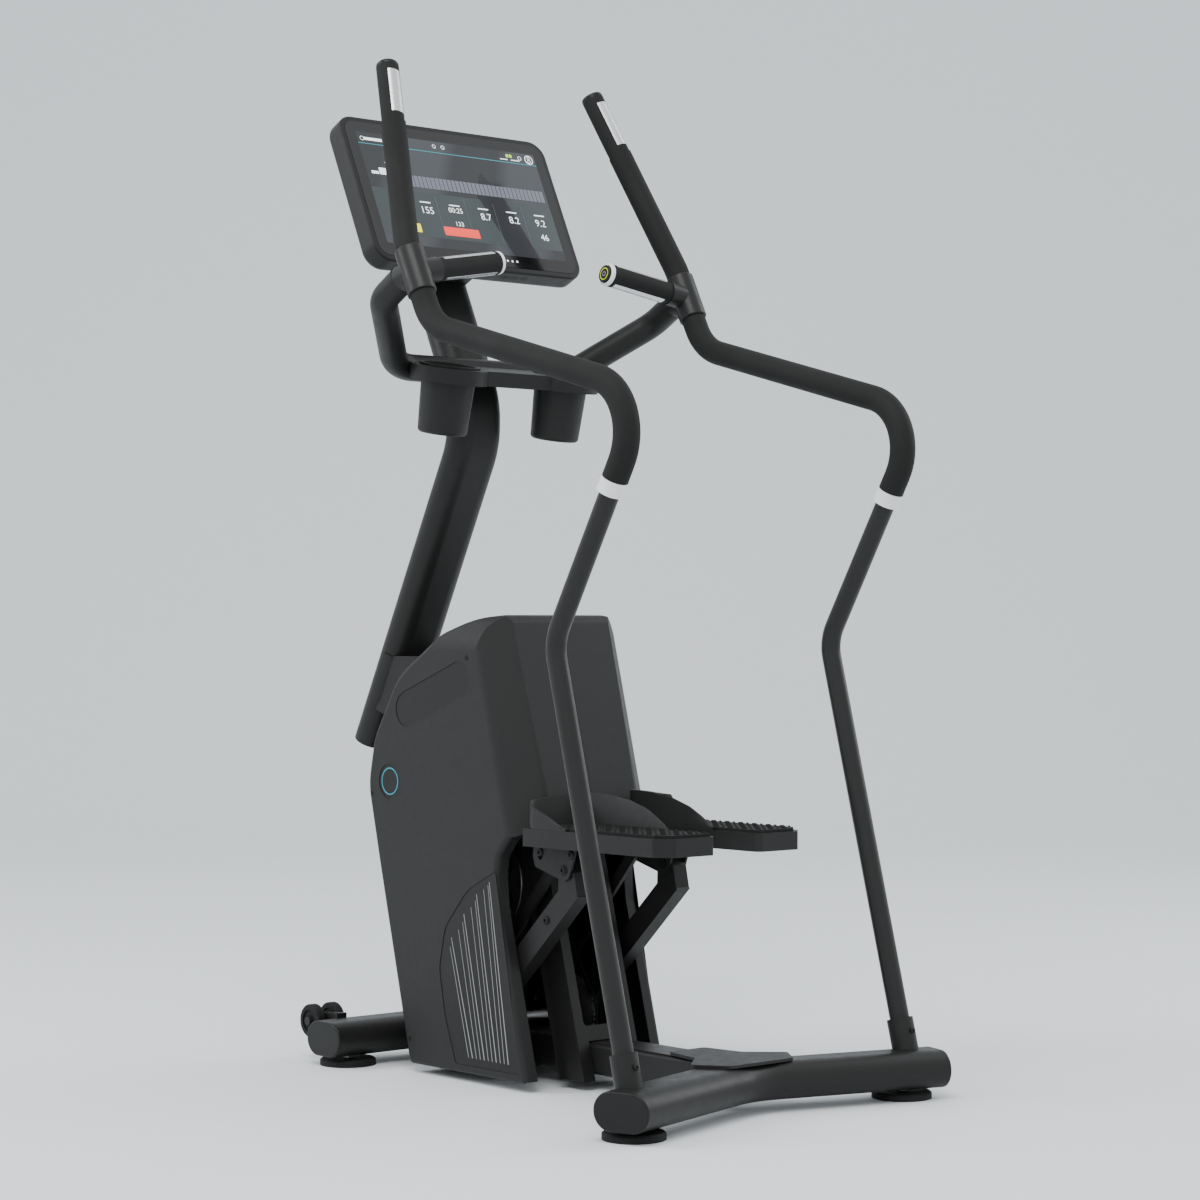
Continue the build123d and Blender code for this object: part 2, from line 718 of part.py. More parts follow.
def insert_corners(gap):
    upper = [((514 - gap, 367), 4), ((590, 330), 80), ((652, 262), 60), ((668, 190), 60)]
    lower = [((652, 110), 120), ((622, 30), 8), ((447 - gap, 30), 3)]
    return upper + lower


def insert_block(gap):
    """The decorated lower panel let into each side."""
    face = rounded_face(insert_corners(gap))
    if gap > 0:
        face = offset(face, gap, kind=Kind.INTERSECTION)
    return Pos(COVER_HALF_WIDTH - 2.2, 0, 0) * extrude(Plane.YZ * face, 1.4 + gap * 20, dir=(1, 0, 0))


def badge_disc():
    return x_bar(812, 508, 30.7, COVER_HALF_WIDTH - 2.2, COVER_HALF_WIDTH - 0.8)


def cover_screws():
    """Socket-head screws at the bottom of the cover's recessed holes."""
    screws = []
    for y, z in screw_places():
        head = x_bar(y, z, 4.6, COVER_HALF_WIDTH - 2.3, COVER_HALF_WIDTH - 0.6)
        socket = Pos(COVER_HALF_WIDTH - 1.6, y, z) * Rot(0, 90, 0) * extrude(RegularPolygon(2.2, 6), 4)
        screws.append(head - socket)
    return Compound(children=screws)


def centre_frame():
    """The steel channel between the two step slots, with its tall window."""
    bottom, top = 15.0, 404.0
    web_y = [387 + 0.27 * (z - 17) for z in (bottom, top)]
    depth, half, lip = 55.0, 66.0, 10.0
    outer = side_plate([(web_y[0], bottom), (web_y[1], top), (web_y[1] + depth, top), (web_y[0] + depth, bottom)],
                       -half, half)
    inner = side_plate([(web_y[0] + 3, bottom - 1), (web_y[1] + 3.3, top + 1), (web_y[1] + depth + 9, top + 1),
                        (web_y[0] + depth + 9, bottom - 1)], -half + 3, half - 3)
    lips = side_plate([(web_y[0] + depth - 3, bottom), (web_y[1] + depth - 3, top), (web_y[1] + depth, top),
                       (web_y[0] + depth, bottom)], -half - lip, half + lip)
    window = box_between((-46, 380, 106), (46, web_y[1] + 8, 350))
    window = fillet(window.edges().filter_by(Axis.Y), 8)
    core = box_between((-half + 3, 300, 0), (half - 3, 700, 500))
    channel = outer - inner
    spine = box_between((-SPINE_WIDTH / 2 - 1, 300, 0), (SPINE_WIDTH / 2 + 1, 600, TUBE_TOP + 1))
    return channel + (lips - core) - window - spine


# ---------------------------------------------------------------- step linkage (right side, +X)

def arm_point(along, across):
    """A point in the arm's side view: along from the pivot, across above the centre line."""
    angle = radians(ARM_ANGLE)
    y = PIVOT[0] - along * cos(angle) + across * sin(angle)
    z = PIVOT[1] + along * sin(angle) + across * cos(angle)
    return (y, z)


def link_ends():
    low = (PIVOT[0] + LINK_OFFSET[0], PIVOT[1] + LINK_OFFSET[1])
    high = (PEDAL_PIN[0] + LINK_OFFSET[0], PEDAL_PIN[1] + LINK_OFFSET[1])
    return low, high


def arm_box(inset, start, end):
    half = ARM_DEPTH / 2 - inset
    corners = [arm_point(start, -half), arm_point(end, -half), arm_point(end, half), arm_point(start, half)]
    return side_plate(corners, ARM_INNER_X + inset, ARM_OUTER_X - inset)


def step_arm():
    """A box tube with a hub at the pivot and a solid lug for the pedal pin."""
    tube = arm_box(0, -46, ARM_LENGTH) - arm_box(ARM_WALL, 30, ARM_LENGTH + 1)
    lug = side_plate([arm_point(318, -17), arm_point(ARM_LENGTH, -17), arm_point(382, 16), arm_point(384, 40),
                      arm_point(356, 46), arm_point(330, 20)], ARM_INNER_X, ARM_OUTER_X)
    hub = x_bar(*PIVOT, 24, ARM_INNER_X, ARM_OUTER_X)
    bore = x_bar(*PIVOT, SHAFT_RADIUS + FIT_GAP, 50, 200)
    eye = x_bar(*PEDAL_PIN, PIN_RADIUS + FIT_GAP, 50, 200)
    sprocket_seat = x_bar(*PIVOT, 16, ARM_INNER_X - 1.2, ARM_INNER_X + 1)
    return tube + lug + hub + sprocket_seat - bore - eye


def step_link():
    low, high = link_ends()
    length = hypot(high[0] - low[0], high[1] - low[1])
    angle = degrees(atan2(high[1] - low[1], high[0] - low[0]))
    plane = Plane(origin=(LINK_INNER_X, *low), x_dir=(0, 1, 0), z_dir=(1, 0, 0))
    strap = Rot(0, 0, angle) * Pos(length / 2, 0) * SlotOverall(length + 20, 20)
    link = extrude(plane * strap, LINK_OUTER_X - LINK_INNER_X)
    link = link - x_bar(*low, PIN_RADIUS + FIT_GAP, 50, 200)
    return link - x_bar(*high, PIN_RADIUS + 0.5, 50, 200)


def link_pin():
    """The fixed pin of the link's lower end, pressed into its pedestal."""
    low = link_ends()[0]
    pin = x_bar(*low, PIN_RADIUS, 64, LINK_OUTER_X + 1)
    return pin + x_bar(*low, 10, LINK_OUTER_X + 0.3, LINK_OUTER_X + 1.6)


def pedal_outline():
    """The step's plan, starting at the outer rear corner."""
    rear = PEDAL_REAR_Y
    outer, inner = PEDAL_OUTER_X, PEDAL_INNER_X
    return [(outer, rear + 26), (outer - 26, rear), (inner + 8, rear), (inner, rear + 8),
            (inner, 410), (PANEL_HALF_WIDTH, 419), (outer, 436)]


def pedal_prism(low, high):
    face = Plane.XY.offset(low) * make_face(Polyline(*pedal_outline(), close=True))
    return extrude(face, high - low)


def step_pedal():
    """The cast step: a ribbed tray with the bracket plates below it."""
    body = pedal_prism(PEDAL_BOTTOM, PEDAL_TOP)
    body = fillet(body.edges().filter_by(Axis.Z), 3)
    pocket = box_between((PEDAL_INNER_X + 5, PEDAL_REAR_Y + 32, PEDAL_BOTTOM - 1),
                         (PEDAL_OUTER_X - 5, 404, PEDAL_TOP - 6))
    ribs = [box_between((PEDAL_INNER_X + 5, y, PEDAL_BOTTOM + 2), (PEDAL_OUTER_X - 5, y + 4, PEDAL_TOP - 5))
            for y in (170, 250, 330)]
    body = body - pocket
    for rib in ribs:
        body = body + rib
    for low in (ARM_OUTER_X + 0.6, ARM_INNER_X - 4.6):
        body = body + bracket_plate(low, 4.0)
    return body - x_bar(*PEDAL_PIN, PIN_RADIUS + 0.02, 50, 200) - x_bar(*link_ends()[1], PIN_RADIUS + 0.02, 50, 200)


def bracket_plate(low, thickness):
    y, z = PEDAL_PIN
    outline = [(y - 34, PEDAL_TOP - 5), (y - 30, PEDAL_BOTTOM - 6), (y - 14, z - 12), (y - 4, z - 18),
               (y + 12, z - 15), (y + 74, z + 2), (y + 80, z + 20), (y + 72, PEDAL_TOP - 5)]
    return side_plate(outline, low, low + thickness)


def pedal_pins():
    """The pivot pin of the step and the stub pin of its levelling link."""
    pin = x_bar(*PEDAL_PIN, PIN_RADIUS, ARM_INNER_X - 5, ARM_OUTER_X + 5)
    head = x_bar(*PEDAL_PIN, 10, ARM_OUTER_X + 4.7, ARM_OUTER_X + 5.4)
    tail = x_bar(*PEDAL_PIN, 9, ARM_INNER_X - 6.6, ARM_INNER_X - 4.7)
    end = link_ends()[1]
    stub = x_bar(*end, PIN_RADIUS, LINK_INNER_X - 2, ARM_INNER_X - 0.8)
    keeper = x_bar(*end, 9, LINK_INNER_X - 3, LINK_INNER_X - 0.4)
    return Compound(children=[pin + head + tail, stub + keeper])


def tread_mat():
    outer, inner = PEDAL_OUTER_X - 7, PEDAL_INNER_X + 7
    outline = [(outer, PEDAL_REAR_Y + 30), (outer - 22, PEDAL_REAR_Y + 7), (inner, PEDAL_REAR_Y + 7),
               (inner, 400), (PANEL_HALF_WIDTH, 408), (outer, 422)]
    face = Plane.XY.offset(PEDAL_TOP + 0.1) * make_face(Polyline(*outline, close=True))
    return extrude(face, MAT_TOP - PEDAL_TOP - 0.1)


def toe_guard():
    """The upright lip round the toe end: a long inner wall, a front wall and a short outer wall."""
    base = PEDAL_TOP + 0.1
    wall = 4.5
    inner = side_plate([(408, base), (412, 503), (384, 503), (340, 501), (287, 494), (245, 480), (214, 464),
                        (190, base)], PEDAL_INNER_X, PEDAL_INNER_X + wall)
    outer = side_plate([(430, base), (436, 490), (405, 480), (365, 464), (322, base)],
                       PEDAL_OUTER_X - wall, PEDAL_OUTER_X)
    front_outline = [(PEDAL_INNER_X, 412), (PANEL_HALF_WIDTH, 420), (PEDAL_OUTER_X, 437),
                     (PEDAL_OUTER_X, 437 - 7), (PANEL_HALF_WIDTH, 420 - 6), (PEDAL_INNER_X, 412 - 6)]
    front = extrude(Plane.XY.offset(base) * make_face(Polyline(*front_outline, close=True)), 52)
    slope = Plane.XZ * make_face(Polyline((PEDAL_INNER_X - 1, 503), (PEDAL_OUTER_X + 1, 490), (PEDAL_OUTER_X + 1, 540),
                                          (PEDAL_INNER_X - 1, 540), close=True))
    front = front - extrude(slope, 1000, both=True)
    return inner + outer + front


def pivot_shaft():
    return x_bar(*PIVOT, SHAFT_RADIUS, -ARM_OUTER_X - 4, ARM_OUTER_X + 4)


def shaft_clips():
    return pair(pipe((ARM_OUTER_X + 0.5, *PIVOT), (ARM_OUTER_X + 2.5, *PIVOT), 15, SHAFT_RADIUS + 0.02))


def pivot_base():
    """The plate under the spine that carries the pedestals and the arm stops."""
    plate = box_between((-ARM_OUTER_X - 2, 566, 19), (ARM_OUTER_X + 2, 722, SPINE_BOTTOM - 0.1))
    return plate


def pivot_pedestals():
    outline = [(572, SPINE_BOTTOM), (716, SPINE_BOTTOM), (702, 142), (650, 146), (590, 128)]
    pedestal = side_plate(outline, 60, 78)
    pedestal = pedestal - x_bar(*PIVOT, SHAFT_RADIUS + 0.02, 40, 100)
    return pair(pedestal - x_bar(*link_ends()[0], PIN_RADIUS + 0.02, 40, 100))


# ---------------------------------------------------------------- frame and drive inside the housing

def inner_frame():
    """Two uprights from the base plate to the mast neck, tied near the top."""
    post = box_between((42, 690, SPINE_BOTTOM), (60, 740, 621.5))
    hole = x_bar(*DRIVE_SHAFT, 12.02, 30, 80)
    post = post - hole
    tie = box_between((-60, 690, 560), (60, 740, 578))
    return post + mirrored(post) + tie


def shaft_bearings():
    bearing = pipe((43, *DRIVE_SHAFT), (59, *DRIVE_SHAFT), 12, 8 + FIT_GAP)
    return pair(bearing)


def drive_shaft():
    shaft = x_bar(*DRIVE_SHAFT, 8, -101, 101)
    pulley = x_bar(*DRIVE_SHAFT, PULLEY_LARGE, -11, 11)
    groove = pipe((-9, *DRIVE_SHAFT), (9, *DRIVE_SHAFT), PULLEY_LARGE + 1, PULLEY_LARGE - 4)
    holes = []
    for index in range(5):
        angle = radians(72 * index)
        y = DRIVE_SHAFT[0] + 54 * cos(angle)
        z = DRIVE_SHAFT[1] + 54 * sin(angle)
        holes.append(x_bar(y, z, 22, -20, 20))
    return shaft + (pulley - groove - holes)


def toothed_disc(centre, radius, teeth, low, high):
    """A chain wheel with a simple round-bottomed tooth form."""
    disc = x_bar(*centre, radius + 2.5, low, high)
    gaps = []
    for index in range(teeth):
        angle = radians(360 * index / teeth)
        y = centre[0] + (radius + 1.5) * cos(angle)
        z = centre[1] + (radius + 1.5) * sin(angle)
        gaps.append(x_bar(y, z, 3.0, low - 1, high + 1))
    return disc - gaps


def arm_sprocket():
    """The large chain wheel bolted to the inner face of an arm's hub."""
    wheel = toothed_disc(PIVOT, SPROCKET_LARGE, 44, ARM_INNER_X - 5.2, ARM_INNER_X - 1.3)
    return wheel - x_bar(*PIVOT, 12, 60, 120)


def clutch_sprocket():
    """The small chain wheel with its one-way clutch on the drive shaft."""
    wheel = toothed_disc(DRIVE_SHAFT, SPROCKET_SMALL, 12, ARM_INNER_X - 5.2, ARM_INNER_X - 1.3)
    barrel = x_bar(*DRIVE_SHAFT, 15, ARM_INNER_X - 12, ARM_INNER_X + 2)
    return wheel + barrel - x_bar(*DRIVE_SHAFT, 8 + FIT_GAP, 60, 120)


def loop_band(first, radius_one, second, radius_two, thickness, low, high):
    """A closed belt or chain round two wheels on parallel X axes."""
    angle = degrees(atan2(second[1] - first[1], second[0] - first[0]))
    distance = hypot(second[0] - first[0], second[1] - first[1])

    def outline(extra):
        big, small = radius_one + extra, radius_two + extra
        swing = radians(90) - atan2((big - small), (distance ** 2 - (big - small) ** 2) ** 0.5)
        along, up = sin(radians(90) - swing), sin(swing)
        corners = [(big * along, big * up), (distance + small * along, small * up),
                   (distance + small * along, -small * up), (big * along, -big * up)]
        side = make_face(Polyline(*corners, close=True))
        return Circle(big) + side + Pos(distance, 0) * Circle(small)

    band = outline(thickness) - outline(0)
    plane = Plane(origin=(low, *first), x_dir=(0, 1, 0), z_dir=(1, 0, 0))
    return extrude(plane * (Rot(0, 0, angle) * band), high - low)


def drive_chain():
    return loop_band(PIVOT, SPROCKET_LARGE + 3.0, DRIVE_SHAFT, SPROCKET_SMALL + 3.0, 3.5,
                     ARM_INNER_X - 5.2, ARM_INNER_X - 1.3)


def drive_belt():
    return loop_band(DRIVE_SHAFT, PULLEY_LARGE - 3.6, ALTERNATOR, PULLEY_SMALL + 0.4, 3.0, -8, 8)


def alternator_rotor():
    shaft = x_bar(*ALTERNATOR, 6, -62, 60)
    pulley = x_bar(*ALTERNATOR, PULLEY_SMALL, -9, 9)
    flywheel = x_bar(*ALTERNATOR, FLYWHEEL_RADIUS, -60, -20)
    flywheel = chamfer(flywheel.edges().filter_by(GeomType.CIRCLE), 2)
    return shaft + pulley + flywheel


def alternator_body():
    """The generator case on its bracket, to the right of the belt."""
    case = x_bar(*ALTERNATOR, 44, 16, 82)
    case = fillet(case.edges().filter_by(GeomType.CIRCLE), 5)
    bracket = box_between((43, 740.2, 470), (60, ALTERNATOR[0], 530))
    return case + bracket - x_bar(*ALTERNATOR, 6 + FIT_GAP, 0, 64)


# ---------------------------------------------------------------- build

def build_parts():
    grip, grip_plates, grip_cap = upright_grip_parts()
    cross, cross_plates, cross_ring, cross_button = cross_grip_parts()
    right_only = {
        "handrail_tube": rail_tube(),
        "hand_sleeves": gathered(lower_sleeve(), upper_sleeve()),
        "handrail_tee": rail_tee(),
        "grips": gathered(grip, cross),
        "cross_button": cross_button,
        "side_cover": side_cover(),
        "step_arm": step_arm(),
        "step_link": step_link(),
        "step_pedal": step_pedal(),
        "pedal_pins": pedal_pins(),
        "tread_mat": tread_mat(),
        "toe_guard": toe_guard(),
        "arm_sprocket": arm_sprocket(),
        "clutch_sprocket": clutch_sprocket(),
        "transport_wheels": gathered(*transport_wheels()),
    }
    parts = {}
    for name, shape in right_only.items():
        parts["right_" + name] = shape
        parts["left_" + name] = mirrored(shape)
    rear_plane = rear_end_plane()
    parts["rear_crossbar"] = rear_crossbar()
    parts["front_crossbar"] = front_crossbar()
    bar_caps = [pair(tube_cap(rear_plane)), pair(tube_cap(front_end_plane()))]
    parts["tube_caps"] = gathered(*bar_caps, mast_plug())
    parts["levelling_pads"] = levelling_pads()
    parts["levelling_studs"] = levelling_studs()
    parts["base_spine"] = base_spine()
    parts["spine_cover"] = spine_cover()
    parts["wheel_fittings"] = gathered(wheel_brackets(), pair(wheel_axle()))
    parts["mast"] = mast_body(MAST_WALL)
    parts["grip_rings"] = gathered(pair(rail_ring()), pair(cross_ring))
    parts["handrail_sockets"] = pair(rail_socket())
    parts["contact_plates"] = gathered(pair(grip_plates), pair(cross_plates))
    parts["grip_caps"] = pair(grip_cap)
    parts["yoke"] = yoke()
    parts["mast_collar"] = mast_collar()
    parts["cup_tray"] = cup_tray()
    parts["cup_holders"] = pair(cup_holder())
    parts["console_housing"] = console_housing()
    parts["console_glass"] = console_glass()
    parts["console_display"] = console_display()
    parts["console_bracket"] = console_bracket()
    trim = [pair(badge_disc()), pair(plate_block(0)), pair(insert_block(0)), pair(cover_screws())]
    parts["cover_trim"] = gathered(*trim)
    parts["centre_frame"] = centre_frame()
    parts["pivot_frame"] = gathered(pivot_base(), pivot_pedestals())
    parts["pivot_pins"] = gathered(pivot_shaft(), shaft_clips(), pair(link_pin()), shaft_bearings())
    parts["inner_frame"] = gathered(inner_frame(), mast_neck())
    parts["drive_shaft"] = drive_shaft()
    parts["drive_loops"] = gathered(pair(drive_chain()), drive_belt())
    parts["alternator"] = alternator_body()
    parts["alternator_rotor"] = alternator_rotor()
    return parts


def main():
    os.makedirs("parts", exist_ok=True)
    for name, shape in build_parts().items():
        moved = Pos(0, -ORIGIN_Y, 0) * shape
        export_step(moved, "parts/" + name + ".step")


main()
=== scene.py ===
import math

import bmesh
import bpy
from mathutils import Matrix, Vector


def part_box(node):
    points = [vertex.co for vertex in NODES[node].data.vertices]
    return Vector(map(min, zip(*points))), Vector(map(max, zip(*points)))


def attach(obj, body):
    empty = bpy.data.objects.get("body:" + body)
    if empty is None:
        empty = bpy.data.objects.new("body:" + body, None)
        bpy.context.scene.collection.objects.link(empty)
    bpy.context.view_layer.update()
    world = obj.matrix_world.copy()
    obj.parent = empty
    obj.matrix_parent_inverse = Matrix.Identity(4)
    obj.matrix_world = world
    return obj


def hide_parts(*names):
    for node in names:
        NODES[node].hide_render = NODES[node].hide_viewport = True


# Looks of the stair climber. Metres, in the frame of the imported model: +Z up, the user stands on
# the -Y side and +X is the user's right.

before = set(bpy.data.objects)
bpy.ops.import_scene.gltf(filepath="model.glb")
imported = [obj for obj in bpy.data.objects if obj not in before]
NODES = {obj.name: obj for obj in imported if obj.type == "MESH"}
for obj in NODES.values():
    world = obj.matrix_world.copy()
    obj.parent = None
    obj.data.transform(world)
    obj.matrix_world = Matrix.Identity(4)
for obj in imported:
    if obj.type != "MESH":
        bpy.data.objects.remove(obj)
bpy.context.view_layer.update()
MM = 0.001
ORIGIN_SHIFT = 500.7      # millimetres from the rear feet's axis to the origin


# ---------------------------------------------------------------- materials

def shader(name, color, roughness, metallic=0.0, coat=0.0):
    """A new Principled material and its node tree."""
    material = bpy.data.materials.new(name)
    material.use_nodes = True
    tree = material.node_tree
    principled = tree.nodes["Principled BSDF"]
    principled.inputs["Base Color"].default_value = (*color, 1.0)
    principled.inputs["Roughness"].default_value = roughness
    principled.inputs["Metallic"].default_value = metallic
    principled.inputs["Coat Weight"].default_value = coat
    principled.inputs["Specular IOR Level"].default_value = 0.5 if metallic or coat else 0.22
    return material, tree, principled


def place(tree, stretch=(1.0, 1.0, 1.0)):
    """Object coordinates in metres, stretched along an axis."""
    where = tree.nodes.new("ShaderNodeTexCoord")
    mapping = tree.nodes.new("ShaderNodeMapping")
    mapping.inputs["Scale"].default_value = stretch
    tree.links.new(where.outputs["Object"], mapping.inputs["Vector"])
    return mapping.outputs["Vector"]


def noise(tree, vector, scale, detail=3.0, roughness=0.55):
    texture = tree.nodes.new("ShaderNodeTexNoise")
    texture.inputs["Scale"].default_value = scale
    texture.inputs["Detail"].default_value = detail
    texture.inputs["Roughness"].default_value = roughness
    tree.links.new(vector, texture.inputs["Vector"])
    return texture.outputs["Fac"]


def remap(tree, value, low, high):
    """Spreads a noise's middle range over low to high."""
    node = tree.nodes.new("ShaderNodeMapRange")
    node.inputs["From Min"].default_value = 0.3
    node.inputs["From Max"].default_value = 0.7
    node.inputs["To Min"].default_value = low
    node.inputs["To Max"].default_value = high
    tree.links.new(value, node.inputs["Value"])
    return node.outputs["Result"]


def bump(tree, height, strength, distance, normal=None):
    node = tree.nodes.new("ShaderNodeBump")
    node.inputs["Strength"].default_value = strength
    node.inputs["Distance"].default_value = distance
    tree.links.new(height, node.inputs["Height"])
    if normal is not None:
        tree.links.new(normal, node.inputs["Normal"])
    return node.outputs["Normal"]


def tint(tree, principled, value, color, spread):
    """The base colour drifts between a darker and a lighter tone of itself."""
    mix = tree.nodes.new("ShaderNodeMix")
    mix.data_type = "RGBA"
    mix.inputs["A"].default_value = (*[c * (1 - spread) for c in color], 1.0)
    mix.inputs["B"].default_value = (*[c * (1 + spread) for c in color], 1.0)
    tree.links.new(value, mix.inputs["Factor"])
    tree.links.new(mix.outputs["Result"], principled.inputs["Base Color"])


def coated_surface(name, color, roughness, grain, depth, spread=0.12, metallic=0.0, coat=0.0, stretch=(1, 1, 1)):
    """A surface with fine grain, a slow drift of tone and a slow drift of gloss."""
    material, tree, principled = shader(name, color, roughness, metallic, coat)
    vector = place(tree, stretch)
    fine = noise(tree, vector, grain, 2.0)
    broad = noise(tree, place(tree), 7.0, 4.0)
    wear = noise(tree, place(tree), 55.0, 5.0, 0.7)
    tint(tree, principled, broad, color, spread)
    gloss = remap(tree, wear, roughness - 0.05, min(roughness + 0.07, 1.0))
    tree.links.new(gloss, principled.inputs["Roughness"])
    normal = bump(tree, fine, 0.35, depth)
    tree.links.new(normal, principled.inputs["Normal"])
    return material


def brushed_surface(name, color, roughness, stretch, grain=900.0):
    """Metal with fine parallel lines along the axis that is stretched."""
    material, tree, principled = shader(name, color, roughness, 1.0)
    lines = noise(tree, place(tree, stretch), grain, 3.0, 0.6)
    tint(tree, principled, lines, color, 0.12)
    gloss = remap(tree, lines, roughness - 0.07, roughness + 0.1)
    tree.links.new(gloss, principled.inputs["Roughness"])
    principled.inputs["Anisotropic"].default_value = 0.4
    normal = bump(tree, lines, 0.25, 0.00004)
    tree.links.new(normal, principled.inputs["Normal"])
    return material


def woven_rubber(name, color):
    """Grip rubber: a fine leather-like cell pattern over slow tone changes."""
    material, tree, principled = shader(name, color, 0.74)
    cells = tree.nodes.new("ShaderNodeTexVoronoi")
    cells.inputs["Scale"].default_value = 620.0
    tree.links.new(place(tree), cells.inputs["Vector"])
    fine = noise(tree, place(tree), 1500.0, 2.0)
    broad = noise(tree, place(tree), 9.0, 4.0)
    tint(tree, principled, broad, color, 0.14)
    tree.links.new(remap(tree, broad, 0.66, 0.8), principled.inputs["Roughness"])
    first = bump(tree, cells.outputs["Distance"], 0.3, 0.00022)
    tree.links.new(bump(tree, fine, 0.2, 0.00008, first), principled.inputs["Normal"])
    return material


def glowing_surface(name, color, strength):
    """A lit patch of the display: base colour and a matching glow with a faint pixel grain."""
    material, tree, principled = shader(name, color, 0.3, 0.0, 0.1)
    grain = noise(tree, place(tree), 2500.0, 1.0)
    tint(tree, principled, grain, color, 0.05)
    principled.inputs["Emission Color"].default_value = (*color, 1.0)
    principled.inputs["Emission Strength"].default_value = strength
    return material


def screen_surface(name):
    """The display's dark slate ground: slow vertical fade with two lighter diagonal reflections."""
    material, tree, principled = shader(name, (0.03, 0.034, 0.04), 0.16, 0.0, 0.15)
    wave = tree.nodes.new("ShaderNodeTexWave")
    wave.wave_type = "BANDS"
    wave.bands_direction = "DIAGONAL"
    wave.inputs["Scale"].default_value = 2.4
    wave.inputs["Distortion"].default_value = 0.0
    wave.inputs["Detail"].default_value = 0.0
    tree.links.new(place(tree, (1.0, 0.6, -0.8)), wave.inputs["Vector"])
    tint(tree, principled, remap(tree, wave.outputs["Fac"], 0.0, 1.0), (0.026, 0.029, 0.034), 0.5)
    principled.inputs["Emission Color"].default_value = (0.026, 0.029, 0.034, 1.0)
    principled.inputs["Emission Strength"].default_value = 0.25
    return material


MATERIALS = {
    "paint": coated_surface("powder_coat", (0.0125, 0.0122, 0.012), 0.40, 1100.0, 0.00010, 0.1),
    "tube": coated_surface("satin_tube_coat", (0.0155, 0.0153, 0.0152), 0.34, 1300.0, 0.00006, 0.1),
    "plastic": coated_surface("textured_plastic", (0.0150, 0.0148, 0.0148), 0.48, 1600.0, 0.00012, 0.08),
    "cup": coated_surface("cup_plastic", (0.0125, 0.0123, 0.0122), 0.46, 1500.0, 0.00010, 0.1),
    "trim": coated_surface("trim_plastic", (0.0085, 0.0084, 0.0084), 0.36, 1800.0, 0.00005, 0.1),
    "insert": coated_surface("insert_plastic", (0.0112, 0.0111, 0.0112), 0.44, 1700.0, 0.00008, 0.1),
    "casing": coated_surface("console_casing", (0.0135, 0.0134, 0.0134), 0.42, 1700.0, 0.00008, 0.1),
    "grip": woven_rubber("grip_rubber", (0.0095, 0.0093, 0.0092)),
    "mat": coated_surface("tread_rubber", (0.0105, 0.0104, 0.0104), 0.78, 900.0, 0.00025, 0.2),
    "rubber": coated_surface("moulded_rubber", (0.009, 0.009, 0.009), 0.7, 900.0, 0.0002, 0.15),
    "cast": coated_surface("cast_pedal", (0.0125, 0.0123, 0.0122), 0.48, 700.0, 0.0002, 0.12),
    "steel": brushed_surface("machined_steel", (0.45, 0.45, 0.46), 0.36, (1.0, 0.05, 0.05)),
    "contact": brushed_surface("contact_plate", (0.66, 0.67, 0.68), 0.3, (0.06, 1.0, 1.0)),
    "ring": coated_surface("white_ring", (0.78, 0.79, 0.8), 0.3, 900.0, 0.00003, 0.03),
    "silver": brushed_surface("silver_ring", (0.72, 0.73, 0.75), 0.28, (0.05, 1.0, 1.0)),
    "lime": coated_surface("lime_plastic", (0.42, 0.5, 0.03), 0.4, 1500.0, 0.00004, 0.05),
    "teal": coated_surface("teal_print", (0.03, 0.24, 0.32), 0.4, 1500.0, 0.00003, 0.06),
    "pale": coated_surface("pale_print", (0.30, 0.30, 0.31), 0.5, 1500.0, 0.00002, 0.1),
    "glass": coated_surface("console_glass", (0.005, 0.005, 0.0055), 0.1, 300.0, 0.000002, 0.05, 0.0, 0.15),
    "dark": coated_surface("dark_steel", (0.007, 0.007, 0.007), 0.5, 900.0, 0.0001, 0.15),
    "aluminium": brushed_surface("cast_aluminium", (0.4, 0.4, 0.41), 0.45, (1.0, 1.0, 1.0), 400.0),
    "screen": screen_surface("display_ground"),
    "white_glow": glowing_surface("display_white", (0.8, 0.83, 0.86), 0.9),
    "bar_glow": glowing_surface("display_bars", (0.12, 0.124, 0.155), 0.4),
    "teal_glow": glowing_surface("display_teal", (0.03, 0.2, 0.24), 0.7),
    "yellow_glow": glowing_surface("display_yellow", (0.85, 0.72, 0.02), 0.8),
    "red_glow": glowing_surface("display_red", (0.8, 0.05, 0.03), 0.8),
    "green_glow": glowing_surface("display_green", (0.35, 0.7, 0.05), 0.8),
    # A painted reflection on the glass: dark, with a faint glow.
    "band": glowing_surface("display_band", (0.004, 0.005, 0.008), 0.05),
    "panel_glow": glowing_surface("display_panel", (0.026, 0.036, 0.038), 0.35),
}

NODE_MATERIALS = {
    "side_cover": "plastic", "handrail_tube": "tube", "hand_sleeves": "grip", "handrail_tee": "tube",
    "grips": "grip", "cross_button": "trim", "step_arm": "paint", "step_link": "paint",
    "step_pedal": "cast", "pedal_pins": "dark", "tread_mat": "mat", "toe_guard": "plastic",
    "arm_sprocket": "steel", "clutch_sprocket": "steel", "transport_wheels": "rubber",
    "tube_caps": "trim", "levelling_pads": "rubber", "levelling_studs": "steel", "spine_cover": "plastic",
    "wheel_fittings": "paint", "mast_collar": "plastic", "cup_tray": "cup", "cup_holders": "cup",
    "contact_plates": "contact", "grip_rings": "ring", "grip_caps": "trim", "console_housing": "casing",
    "console_glass": "glass", "console_display": "dark", "cover_trim": "insert", "pivot_pins": "steel",
    "drive_shaft": "steel", "drive_loops": "rubber", "alternator": "aluminium", "alternator_rotor": "steel",
}


